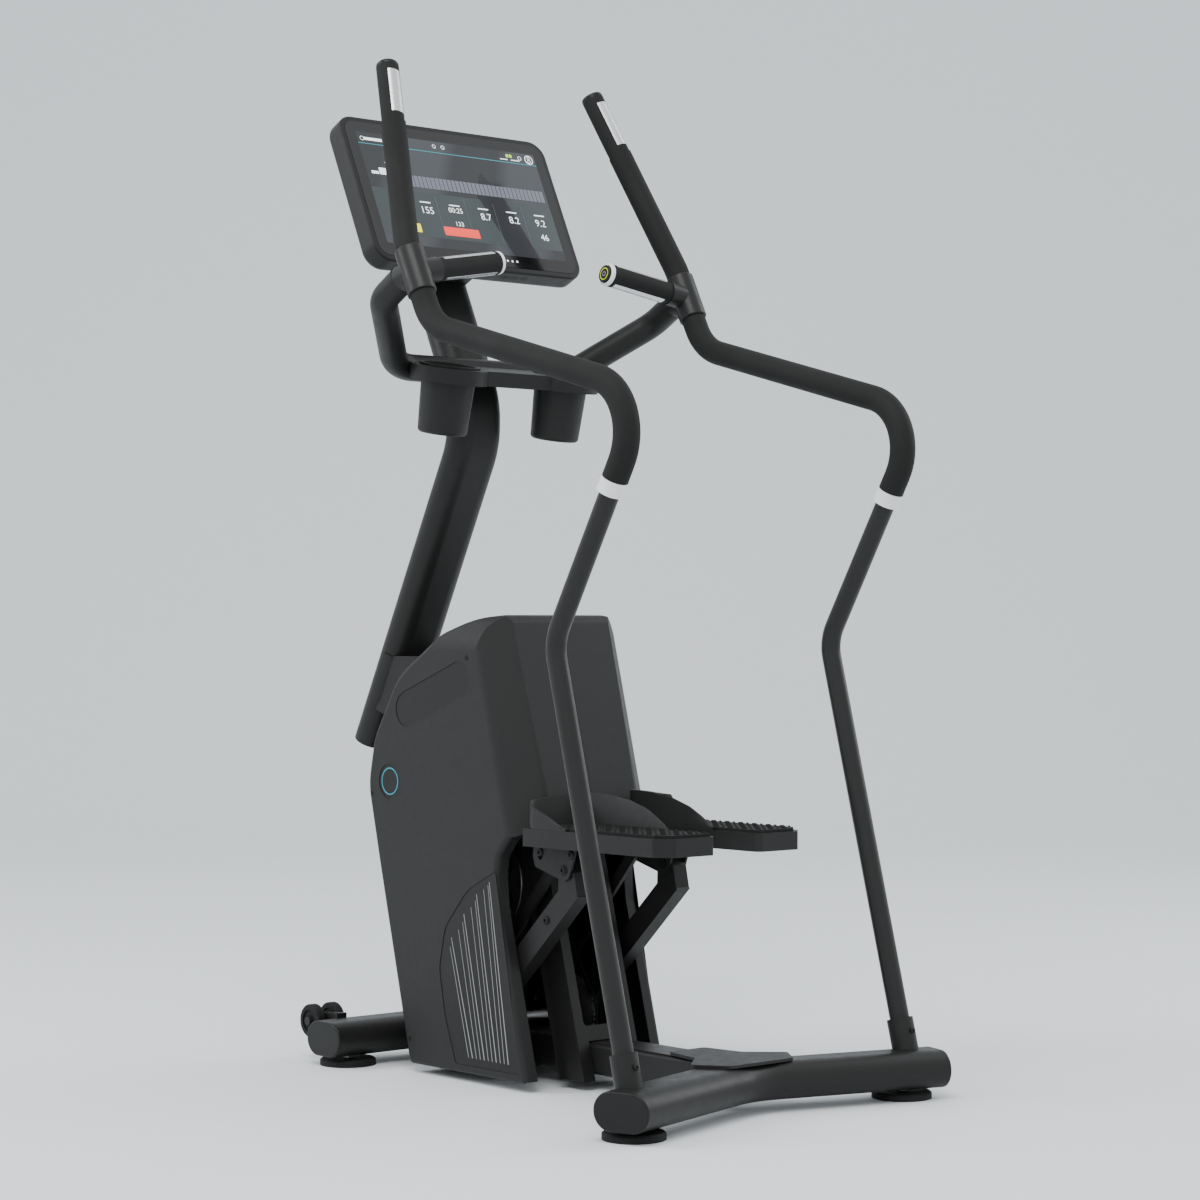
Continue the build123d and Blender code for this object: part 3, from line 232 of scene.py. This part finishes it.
def paint_nodes():
    """Every CAD node gets its own material, the bare frame parts the powder coat."""
    for name, node in NODES.items():
        kind = name.replace("left_", "").replace("right_", "")
        material = MATERIALS[NODE_MATERIALS.get(kind, "paint")]
        node.data.materials.clear()
        node.data.materials.append(material)


def soften(name, width, angle=25.0):
    """A small rounding on the sharp edges of a CAD node, made by a modifier."""
    node = NODES[name]
    rounding = node.modifiers.new("rounding", "BEVEL")
    rounding.width = width
    rounding.segments = 3
    rounding.limit_method = "ANGLE"
    rounding.angle_limit = math.radians(angle)
    rounding.harden_normals = False


# ---------------------------------------------------------------- mesh helpers

def finish_piece(name, mesh, material, body):
    """Wraps a mesh as a piece of the object that rides on a body."""
    piece = bpy.data.objects.new(name, mesh)
    bpy.context.scene.collection.objects.link(piece)
    mesh.materials.append(MATERIALS[material])
    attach(piece, body)
    return piece


def frame_point(side, x, y, z):
    """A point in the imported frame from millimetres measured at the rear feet's axis."""
    return Vector((side * x * MM, (y - ORIGIN_SHIFT) * MM, z * MM))


def mesh_of(name, vertices, faces, smooth=False):
    mesh = bpy.data.meshes.new(name)
    mesh.from_pydata([tuple(v) for v in vertices], [], faces)
    mesh.validate()
    for polygon in mesh.polygons:
        polygon.use_smooth = smooth
    return mesh


class Builder:
    """Collects simple closed shapes into one mesh."""

    def __init__(self):
        self.vertices = []
        self.faces = []

    def add(self, vertices, faces):
        start = len(self.vertices)
        self.vertices += [Vector(v) for v in vertices]
        self.faces += [[start + i for i in face] for face in faces]

    def prism(self, outline, base, normal):
        """A closed prism: outline points in 3-D, thickened by the vector normal."""
        count = len(outline)
        low = [base + Vector(p) for p in outline]
        high = [p + normal for p in low]
        faces = [list(range(count))[::-1], list(range(count, 2 * count))]
        faces += [[i, (i + 1) % count, count + (i + 1) % count, count + i] for i in range(count)]
        self.add(low + high, faces)

    def lathe(self, origin, axis, profile, turns=32):
        """A closed round shape: profile lists (distance along the axis, radius)."""
        axis = Vector(axis).normalized()
        side = axis.orthogonal().normalized()
        other = axis.cross(side)
        vertices = []
        for along, radius in profile:
            for step in range(turns):
                angle = 2 * math.pi * step / turns
                spoke = side * math.cos(angle) + other * math.sin(angle)
                vertices.append(Vector(origin) + axis * along + spoke * radius)
        faces = []
        rings = len(profile)
        for ring in range(rings - 1):
            for step in range(turns):
                after = (step + 1) % turns
                faces.append([ring * turns + step, ring * turns + after,
                              (ring + 1) * turns + after, (ring + 1) * turns + step])
        faces.append([step for step in range(turns)][::-1])
        faces.append([(rings - 1) * turns + step for step in range(turns)])
        self.add(vertices, faces)

    def piece(self, name, material, body, smooth=False, slot=None):
        mesh = mesh_of(name, self.vertices, self.faces, smooth)
        cleaner = bmesh.new()
        cleaner.from_mesh(mesh)
        bmesh.ops.recalc_face_normals(cleaner, faces=cleaner.faces)
        cleaner.to_mesh(mesh)
        cleaner.free()
        if smooth:
            mesh.set_sharp_from_angle(angle=math.radians(35))
        return finish_piece(name, mesh, material, body)


def hex_bolt_profile(head, height):
    """The stepped, domed profile of a button-head bolt."""
    return [(0, head * 0.98), (height * 0.35, head), (height * 0.75, head * 0.86), (height, head * 0.6),
            (height, head * 0.42), (height * 0.45, head * 0.40)]


# ---------------------------------------------------------------- console screen

TILT = math.radians(25.0)
SCREEN_NORMAL = Vector((0, -math.cos(TILT), math.sin(TILT)))
SCREEN_UP = Vector((0, math.sin(TILT), math.cos(TILT)))
SCREEN_RIGHT = Vector((1, 0, 0))
GLASS_LOW, GLASS_HIGH = (Vector(corner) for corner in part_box("console_glass"))
GLASS_THICKNESS = 4 * MM
GLASS_CENTRE = (GLASS_LOW + GLASS_HIGH) / 2 + SCREEN_NORMAL * GLASS_THICKNESS / 2


def on_screen(right, up, lift=0.0):
    """A point on the glass, in millimetres from its middle."""
    return GLASS_CENTRE + SCREEN_RIGHT * right * MM + SCREEN_UP * up * MM + SCREEN_NORMAL * lift * MM


def rounded_rectangle(low, high, corner, steps=6):
    """Outline points of a rectangle with rounded corners, in millimetres."""
    centres = [(high[0] - corner, high[1] - corner, 0), (low[0] + corner, high[1] - corner, 90),
               (low[0] + corner, low[1] + corner, 180), (high[0] - corner, low[1] + corner, 270)]
    points = []
    for x, y, start in centres:
        for step in range(steps + 1):
            angle = math.radians(start + 90 * step / steps)
            points.append((x + corner * math.cos(angle), y + corner * math.sin(angle)))
    return points


def screen_patch(name, outline, material, lift=0.25, thickness=0.1):
    shape = Builder()
    shape.prism([on_screen(x, y, lift) for x, y in outline], Vector(), SCREEN_NORMAL * thickness * MM)
    return shape.piece(name, material, "frame", slot="display")


def screen_rectangles(name, rectangles, material, lift, corner=0.8):
    """Several rounded rectangles, each (left, bottom, right, top) in millimetres, as one piece."""
    shape = Builder()
    for left, bottom, right, top in rectangles:
        outline = rounded_rectangle((left, bottom), (right, top), corner, 3)
        shape.prism([on_screen(x, y, lift) for x, y in outline], Vector(), SCREEN_NORMAL * 0.08 * MM)
    return shape.piece(name, material, "frame", slot="display")


def screen_numbers(name, entries, material, lift):
    """Numerals on the display: entries are (text, right, up, height in millimetres)."""
    joined = Builder()
    for text, right, up, height in entries:
        font = bpy.data.curves.new(name, "FONT")
        font.body = text
        font.align_x = "CENTER"
        font.size = height * 1.35
        font.extrude = 0.04
        holder = bpy.data.objects.new(name, font)
        bpy.context.scene.collection.objects.link(holder)
        bpy.context.view_layer.update()
        mesh = bpy.data.meshes.new_from_object(holder.evaluated_get(bpy.context.evaluated_depsgraph_get()))
        vertices = [on_screen(right + v.co.x, up + v.co.y, lift + v.co.z + 0.04) for v in mesh.vertices]
        joined.add(vertices, [list(p.vertices) for p in mesh.polygons])
        bpy.data.objects.remove(holder)
    return joined.piece(name, material, "frame", slot="display")


def ring_outline_pieces(shape, right, up, radius, width, lift):
    """A flat ring on the display."""
    steps = 40
    for step in range(steps):
        first = 2 * math.pi * step / steps
        second = 2 * math.pi * (step + 1) / steps
        corners = [(radius, first), (radius + width, first), (radius + width, second), (radius, second)]
        outline = [on_screen(right + r * math.cos(a), up + r * math.sin(a), lift) for r, a in corners]
        shape.prism(outline, Vector(), SCREEN_NORMAL * 0.08 * MM)


def build_screen():
    screen_patch("screen_ground", rounded_rectangle((-205, -113), (205, 117), 2), "screen", 0.05)
    screen_rectangles("screen_data_panel", [(-205, -92, 205, 2)], "panel_glow", 0.2)
    # A painted reflection: a dark diagonal band across the glass, given a faint glow.
    screen_patch("screen_reflection", [(60, 60), (96, 20), (142, -113), (84, -113), (36, 12)], "band", 0.32)
    bars = [(-120 + 9.4 * i, 12, -112 + 9.4 * i, 36) for i in range(34)]
    screen_rectangles("screen_profile_bars", bars, "bar_glow", 0.42, 0.4)
    screen_rectangles("screen_progress_steps", [(-176, 30, -160, 44), (-158, 30, -142, 58), (-194, 30, -178, 36)],
                      "white_glow", 0.42)
    screen_rectangles("screen_teal_rule", [(-205, 92, 205, 93.6)], "teal_glow", 0.4, 0.5)
    dividers = [(-200 + 66.6 * i, -88, -199.5 + 66.6 * i, -4) for i in range(1, 6)]
    screen_rectangles("screen_dividers", dividers, "bar_glow", 0.42, 0.2)
    numbers = [("7.2", -158, -42, 15), ("155", -92, -42, 15), ("00:25", -26, -34, 11), ("133", -26, -62, 10),
               ("8.7", 42, -42, 15), ("8.2", 108, -42, 15), ("9.2", 170, -42, 15), ("46", 170, -72, 14)]
    screen_numbers("screen_numerals", numbers, "white_glow", 0.42)
    labels = [(-170 + 66 * i, -20, -146 + 66 * i, -17.5) for i in range(6)]
    labels += [(120, 98, 138, 100), (146, 98, 166, 100), (-190, 100, -150, 106)]
    screen_rectangles("screen_labels", labels, "white_glow", 0.42, 0.6)
    screen_rectangles("screen_yellow_key", [(-180, -84, -118, -66)], "yellow_glow", 0.44, 1.6)
    screen_rectangles("screen_red_key", [(-66, -84, 14, -66)], "red_glow", 0.44, 1.6)
    screen_rectangles("screen_green_marks", [(136, 104, 142, 111), (144, 104, 150, 111), (10, -128, 26, -122)],
                      "green_glow", 0.44, 1.0)
    icons = Builder()
    ring_outline_pieces(icons, 190, 104, 8.0, 1.8, 0.44)
    ring_outline_pieces(icons, 168, 105, 3.4, 1.0, 0.44)
    ring_outline_pieces(icons, 190, 107, 2.0, 1.2, 0.44)
    ring_outline_pieces(icons, 190, 101, 2.6, 1.2, 0.44)
    ring_outline_pieces(icons, -12, 106, 3.0, 1.0, 0.44)
    ring_outline_pieces(icons, -32, 106, 3.0, 1.0, 0.44)
    ring_outline_pieces(icons, -194, 103, 3.4, 1.0, 0.44)
    icons.piece("screen_ring_icons", "white_glow", "frame", slot="display")
    marks = [(-6 + 11 * i, -127, -2 + 11 * i, -123) for i in range(4, 9)]
    screen_rectangles("screen_bezel_marks", marks, "white_glow", 0.3, 1.0)


def painted_slot_shade(shape, centre, half_width, half_depth):
    """A flat dark patch on an edge of the casing, painted shade where a slot's shaded inside would be; its half
    sizes in millimetres.
    """
    across = SCREEN_RIGHT * half_width * MM
    deep = SCREEN_NORMAL * half_depth * MM
    outline = [centre - across - deep, centre + across - deep, centre + across + deep, centre - across + deep]
    shape.prism(outline, Vector(), SCREEN_UP * 0.25 * MM)


def build_console_details():
    """Painted shade of slots in the upper and lower edges of the casing, and fasteners on its back."""
    vent_shade = Builder()
    # The slots are painted shade: flat dark patches on the casing edges, not cuts.
    for index in range(9):
        painted_slot_shade(vent_shade, on_screen(-190 + 13 * index, 149.0, -24), 4.5, 8)
    for index in range(3):
        painted_slot_shade(vent_shade, on_screen(60 + 22 * index, -149.2, -18), 8, 4)
    vent_shade.piece("console_vents", "dark", "frame", slot="black_plastic")
    screws = Builder()
    for right in (-200, 200):
        for up in (-115, 115):
            screws.lathe(on_screen(right, up, -43.9), -SCREEN_NORMAL, hex_bolt_profile(4 * MM, 0.6 * MM), 20)
    for right in (-52, 52):
        for up in (-44, 44):
            screws.lathe(on_screen(right, up, -49.9), -SCREEN_NORMAL, hex_bolt_profile(5 * MM, 3 * MM), 20)
    screws.piece("console_screws", "steel", "frame", True, slot="machined_steel")


# ---------------------------------------------------------------- grips

def grip_axis(side):
    """The middle of the cross grip's inner end and the direction it points in, read from its button."""
    name = "right_cross_button" if side > 0 else "left_cross_button"
    low, high = (Vector(corner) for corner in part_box(name))
    axis = Vector((-side * 0.98562, 0.05058, 0.16688)).normalized()
    middle = (low + high) / 2
    return middle + axis * 8.5 * MM, axis


def flat_ring(shape, centre, axis, inner, outer, thickness, turns=48):
    """A flat washer standing on a face."""
    profile = [(0, inner), (0, outer), (thickness, outer), (thickness, inner)]
    axis = Vector(axis).normalized()
    side = axis.orthogonal().normalized()
    other = axis.cross(side)
    vertices = []
    for along, radius in profile:
        for step in range(turns):
            angle = 2 * math.pi * step / turns
            vertices.append(centre + axis * along + (side * math.cos(angle) + other * math.sin(angle)) * radius)
    faces = []
    rings = len(profile)
    for ring in range(rings):
        onward = (ring + 1) % rings
        for step in range(turns):
            after = (step + 1) % turns
            faces.append([ring * turns + step, ring * turns + after, onward * turns + after, onward * turns + step])
    shape.add(vertices, faces)


def build_button_rings():
    for side, word in ((1, "right"), (-1, "left")):
        centre, axis = grip_axis(side)
        ring = Builder()
        flat_ring(ring, centre - axis * 0.05 * MM, axis, 9.2 * MM, 11.4 * MM, 0.25 * MM)
        ring.piece(word + "_button_lime_ring", "lime", word + "_button", slot="lime_plastic")
        mark = Builder()
        flat_ring(mark, centre - axis * 0.05 * MM, axis, 3.2 * MM, 4.4 * MM, 0.25 * MM)
        mark.piece(word + "_button_mark", "pale", word + "_button", slot="trim_plastic")


# ---------------------------------------------------------------- pedals

TREAD_FRONT_MARGIN = 26 * MM


def raised_block(centre, length, width, height, turn):
    """A small bar with sloping sides."""
    spin = Matrix.Rotation(math.radians(turn), 3, "Z")
    vertices = []
    for level, shrink in ((0.0, 1.0), (height, 0.72)):
        for sx, sy in ((-1, -1), (1, -1), (1, 1), (-1, 1)):
            flat = spin @ Vector((sx * length / 2 * shrink, sy * width / 2 * shrink, 0))
            vertices.append(centre + flat + Vector((0, 0, level)))
    faces = [[3, 2, 1, 0], [4, 5, 6, 7], [0, 1, 5, 4], [1, 2, 6, 5], [2, 3, 7, 6], [3, 0, 4, 7]]
    return vertices, faces


def pedal_details(side, word):
    """Raised blocks on the tread."""
    body = word + "_pedal"
    low, high = (Vector(corner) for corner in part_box(word + "_tread_mat"))
    blocks = Builder()
    rows, columns = 20, 7
    outer_x = high.x if side > 0 else low.x
    for row in range(rows):
        for column in range(columns):
            x = low.x + (high.x - low.x) * (column + 0.5) / columns
            y = low.y + (high.y - low.y) * (row + 0.5) / rows
            past_rear = y - low.y
            at_cut_corner = past_rear < 24 * MM and abs(outer_x - x) < 34 * MM - past_rear
            if at_cut_corner or high.y - y < TREAD_FRONT_MARGIN:
                continue
            turn = 45 if (row + column) % 2 else -45
            blocks.add(*raised_block(Vector((x, y, high.z - 0.2 * MM)), 10 * MM, 4.2 * MM, 2.4 * MM, turn))
    blocks.piece(word + "_tread_blocks", "mat", body, slot="rubber")


GUARD_BASE = 445.1
GUARD_WALL = 4.5
INNER_TOP = [(190, 445.2), (202, 456), (222, 468), (250, 482), (290, 494), (340, 501), (380, 503), (430, 503)]
OUTER_TOP = [(322, 445.2), (334, 452), (365, 466), (400, 480), (430, 488), (440, 490)]


def between(table, value):
    """The height at a place along a wall, on a straight line between the stated ones."""
    if value <= table[0][0]:
        return table[0][1]
    for (a, low), (b, high) in zip(table, table[1:]):
        if value <= b:
            return low + (high - low) * (value - a) / (b - a)
    return table[-1][1]


def rounded_route(corners, radii, steps=10):
    """Plan points along straight runs with round corners."""
    route = [Vector(corners[0])]
    for before, corner, after, radius in zip(corners, corners[1:], corners[2:], radii):
        corner = Vector(corner)
        inward = (Vector(before) - corner).normalized()
        onward = (Vector(after) - corner).normalized()
        start = corner + inward * radius
        end = corner + onward * radius
        for step in range(steps + 1):
            t = step / steps
            route.append(start * (1 - t) ** 2 + corner * 2 * t * (1 - t) + end * t ** 2)
    route.append(Vector(corners[-1]))
    dense = []
    for first, second in zip(route, route[1:]):
        count = max(1, int((second - first).length / 8))
        dense += [first.lerp(second, step / count) for step in range(count)]
    return dense + [route[-1]]


def build_toe_guard(side, word):
    """The moulded lip: one wall that runs up the inner side, round the toe and down the outer side."""
    inner, outer = 49.3, 159.7
    corners = [(inner, 190), (inner, 408.5), (101, 417), (outer, 432), (outer, 322)]
    route = rounded_route(corners, [22, 30, 30])
    vertices = []
    for index, point in enumerate(route):
        before = route[max(index - 1, 0)]
        after = route[min(index + 1, len(route) - 1)]
        along = (after - before).normalized()
        out = Vector((-along.y, along.x))
        share = (point.x - inner) / (outer - inner)
        if share < 0.02:
            top = between(INNER_TOP, point.y)
        elif share > 0.98:
            top = between(OUTER_TOP, point.y)
        else:
            top = 503 - 13 * share ** 1.5
        flare = (top - GUARD_BASE) * 0.03
        half = GUARD_WALL / 2
        section = [(-half - 1.6, GUARD_BASE), (-half, GUARD_BASE + 5), (-half + flare, top - 2.0),
                   (-half + 1.0 + flare, top - 0.4), (flare, top), (half - 1.0 + flare, top - 0.4),
                   (half + flare, top - 2.0), (half, GUARD_BASE + 5), (half - 0.3, GUARD_BASE)]
        for offset, z in section:
            place_at = point + out * min(offset, half + 0.1)
            vertices.append((side * place_at.x * MM, (place_at.y - ORIGIN_SHIFT) * MM, max(z, GUARD_BASE) * MM))
    ring = len(section)
    faces = []
    for index in range(len(route) - 1):
        for step in range(ring):
            after = (step + 1) % ring
            faces.append([index * ring + step, index * ring + after,
                          (index + 1) * ring + after, (index + 1) * ring + step])
    faces.append(list(range(ring)))
    faces.append([(len(route) - 1) * ring + step for step in range(ring)][::-1])
    guard = Builder()
    guard.add(vertices, faces)
    piece = guard.piece(word + "_toe_guard_skin", "plastic", word + "_pedal", True, slot="black_plastic")
    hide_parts(word + "_toe_guard")


def build_bolts(side, word):
    """Button-head bolts where the linkage and the covers show them."""
    arm = Builder()
    for y, z in ((414, 290), (546, 160)):
        arm.lathe(frame_point(side, 126, y, z), (side, 0, 0), hex_bolt_profile(7 * MM, 4 * MM), 24)
    arm.piece(word + "_arm_bolts", "dark", word + "_arm", True, slot="machined_steel")
    step = Builder()
    for y, z in ((365, 377), (425, 404), (345, 404)):
        step.lathe(frame_point(side, 130.5, y, z), (side, 0, 0), hex_bolt_profile(7.5 * MM, 3.5 * MM), 24)
    for y in (150, 215, 300, 360):
        step.lathe(frame_point(side, 150, y, 416), (0, 0, -1), hex_bolt_profile(5 * MM, 2.5 * MM), 20)
    step.piece(word + "_step_bolts", "dark", word + "_pedal", True, slot="machined_steel")
    bumper = Builder()
    bumper.lathe(frame_point(side, 111, 330, 414.6), (0, 0, -1),
                 [(0, 10 * MM), (6 * MM, 10 * MM), (9 * MM, 8 * MM), (13 * MM, 8 * MM), (15 * MM, 6 * MM)], 28)
    bumper.piece(word + "_step_bumper", "rubber", word + "_pedal", True, slot="rubber")
    socket = Builder()
    socket.lathe(frame_point(side, 307, -16, 112), (0, -1, 0.26), hex_bolt_profile(5 * MM, 2.5 * MM), 20)
    socket.piece(word + "_socket_bolt", "dark", "frame", True, slot="machined_steel")


# ---------------------------------------------------------------- housing details

def cover_outer_x(side):
    low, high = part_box("right_side_cover" if side > 0 else "left_side_cover")
    return high[0] if side > 0 else low[0]


def housing_point(side, y, z, lift=0.0):
    """A point on the flat side of the housing: Y from the rear feet's axis and Z, in millimetres."""
    return Vector((cover_outer_x(side) + side * lift * MM, (y - ORIGIN_SHIFT) * MM, z * MM))


def build_pinstripes():
    """Pale lines that fan over the lower insert."""
    for side, word in ((1, "right"), (-1, "left")):
        lines = Builder()
        count = 11
        for index in range(count):
            share = index / (count - 1)
            low = (478 + 108 * share, 44)
            high = (522 + 116 * share + (8 if index % 3 == 0 else 0), 348 - 118 * share ** 1.35)
            lower = housing_point(side, *low, -0.75)
            upper = housing_point(side, *high, -0.75)
            width = Vector((0, (0.7 if index % 3 else 1.1) * MM, 0))
            lines.prism([lower - width, lower + width, upper + width * 0.6, upper - width * 0.6], Vector(),
                        Vector((side * 0.12 * MM, 0, 0)))
        lines.piece(word + "_insert_stripes", "pale", "frame", slot="trim_plastic")


def build_badges():
    """A plain teal ring on the round badge of each side."""
    for side, word in ((1, "right"), (-1, "left")):
        badge = Builder()
        centre = housing_point(side, 812, 508, -0.9)
        flat_ring(badge, centre, (side, 0, 0), 22.0 * MM, 24.4 * MM, 0.3 * MM)
        badge.piece(word + "_badge_ring", "teal", "frame", slot="trim_plastic")


PAD_PLACES = [(-297, 0), (297, 0), (-185, 898), (185, 898)]    # millimetres from the rear feet's axis
PAD_RIBS = 56


def build_feet():
    """The knurled rims of the levelling pads."""
    rims = Builder()
    for x, y in PAD_PLACES:
        middle = frame_point(1, x, y, 0)
        for rib in range(PAD_RIBS):
            angle = 2 * math.pi * rib / PAD_RIBS
            out = Vector((math.cos(angle), math.sin(angle), 0))
            along = Vector((-math.sin(angle), math.cos(angle), 0)) * 1.5 * MM
            start = middle + out * 48.4 * MM
            end = middle + out * 49.95 * MM
            rims.prism([start - along, end - along * 0.5, end + along * 0.5, start + along],
                       Vector((0, 0, 1.2 * MM)), Vector((0, 0, 8.4 * MM)))
    rims.piece("pad_rim_ribs", "rubber", "frame", slot="rubber")


# ---------------------------------------------------------------- stage

def build_stage():
    """A pale floor that curves up into a pale wall."""
    across, near, far, height, bend = 14.0, -9.0, 9.0, 9.0, 4.0
    profile = [(near, 0.0), (far - bend, 0.0)]
    for step in range(1, 13):
        angle = math.radians(90 * step / 12)
        profile.append((far - bend + bend * math.sin(angle), bend - bend * math.cos(angle)))
    profile.append((far, height))
    turn = Matrix.Rotation(math.radians(-40.85), 3, "Z")
    vertices = []
    for along, up in profile:
        for x in (-across, across):
            vertices.append(turn @ Vector((x, along, up)))
    faces = [[2 * i, 2 * i + 1, 2 * i + 3, 2 * i + 2] for i in range(len(profile) - 1)]
    mesh = mesh_of("studio_floor", vertices, faces, True)
    floor = bpy.data.objects.new("studio_floor", mesh)
    bpy.context.scene.collection.objects.link(floor)
    material = shader("studio_paper", (0.77, 0.80, 0.815), 0.7)[0]
    mesh.materials.append(material)


def area_light(name, position, target, size, energy, color=(1, 1, 1)):
    lamp = bpy.data.lights.new(name, "AREA")
    lamp.shape = "RECTANGLE"
    lamp.size = size[0]
    lamp.size_y = size[1]
    lamp.energy = energy
    lamp.color = color
    holder = bpy.data.objects.new(name, lamp)
    holder.location = position
    holder.rotation_euler = (Vector(target) - Vector(position)).to_track_quat("-Z", "Y").to_euler()
    bpy.context.scene.collection.objects.link(holder)


def build_lights():
    world = bpy.data.worlds.new("studio_air")
    bpy.context.scene.world = world
    world.use_nodes = True
    background = world.node_tree.nodes["Background"]
    background.inputs["Color"].default_value = (0.855, 0.885, 0.905, 1.0)
    background.inputs["Strength"].default_value = 1.32
    middle = (0, 0, 0.9)
    area_light("key_light", (-2.2, -1.6, 4.8), middle, (2.6, 2.6), 150, (1.0, 0.99, 0.97))
    area_light("side_light", (4.2, -1.2, 2.8), middle, (1.8, 3.2), 70, (0.96, 0.98, 1.0))
    area_light("rim_light", (-3.6, 2.8, 3.4), middle, (1.6, 3.0), 110, (0.95, 0.98, 1.0))


def build_camera():
    """The viewpoint: low, off the user's left shoulder."""
    camera = bpy.data.cameras.new("camera")
    camera.lens = 86.38
    camera.sensor_width = 36.0
    holder = bpy.data.objects.new("camera", camera)
    yaw, pitch = math.radians(40.849), math.radians(0.51)
    forward = Vector((math.sin(yaw) * math.cos(pitch), math.cos(yaw) * math.cos(pitch), math.sin(pitch)))
    holder.location = (-3.2172, -3.2978 - ORIGIN_SHIFT * MM, 0.7839)
    holder.rotation_euler = forward.to_track_quat("-Z", "Y").to_euler()
    bpy.context.scene.collection.objects.link(holder)
    bpy.context.scene.camera = holder


# ---------------------------------------------------------------- build

paint_nodes()
for rounded in ("spine_cover", "cup_tray", "centre_frame", "base_spine"):
    soften(rounded, 0.0012)
for word in ("left_", "right_"):
    for rounded in ("step_arm", "step_pedal", "step_link"):
        soften(word + rounded, 0.0012)
build_screen()
build_console_details()
build_button_rings()
for side, word in ((1, "right"), (-1, "left")):
    pedal_details(side, word)
    build_toe_guard(side, word)
    build_bolts(side, word)
build_pinstripes()
build_badges()
build_feet()
build_stage()
build_lights()
build_camera()
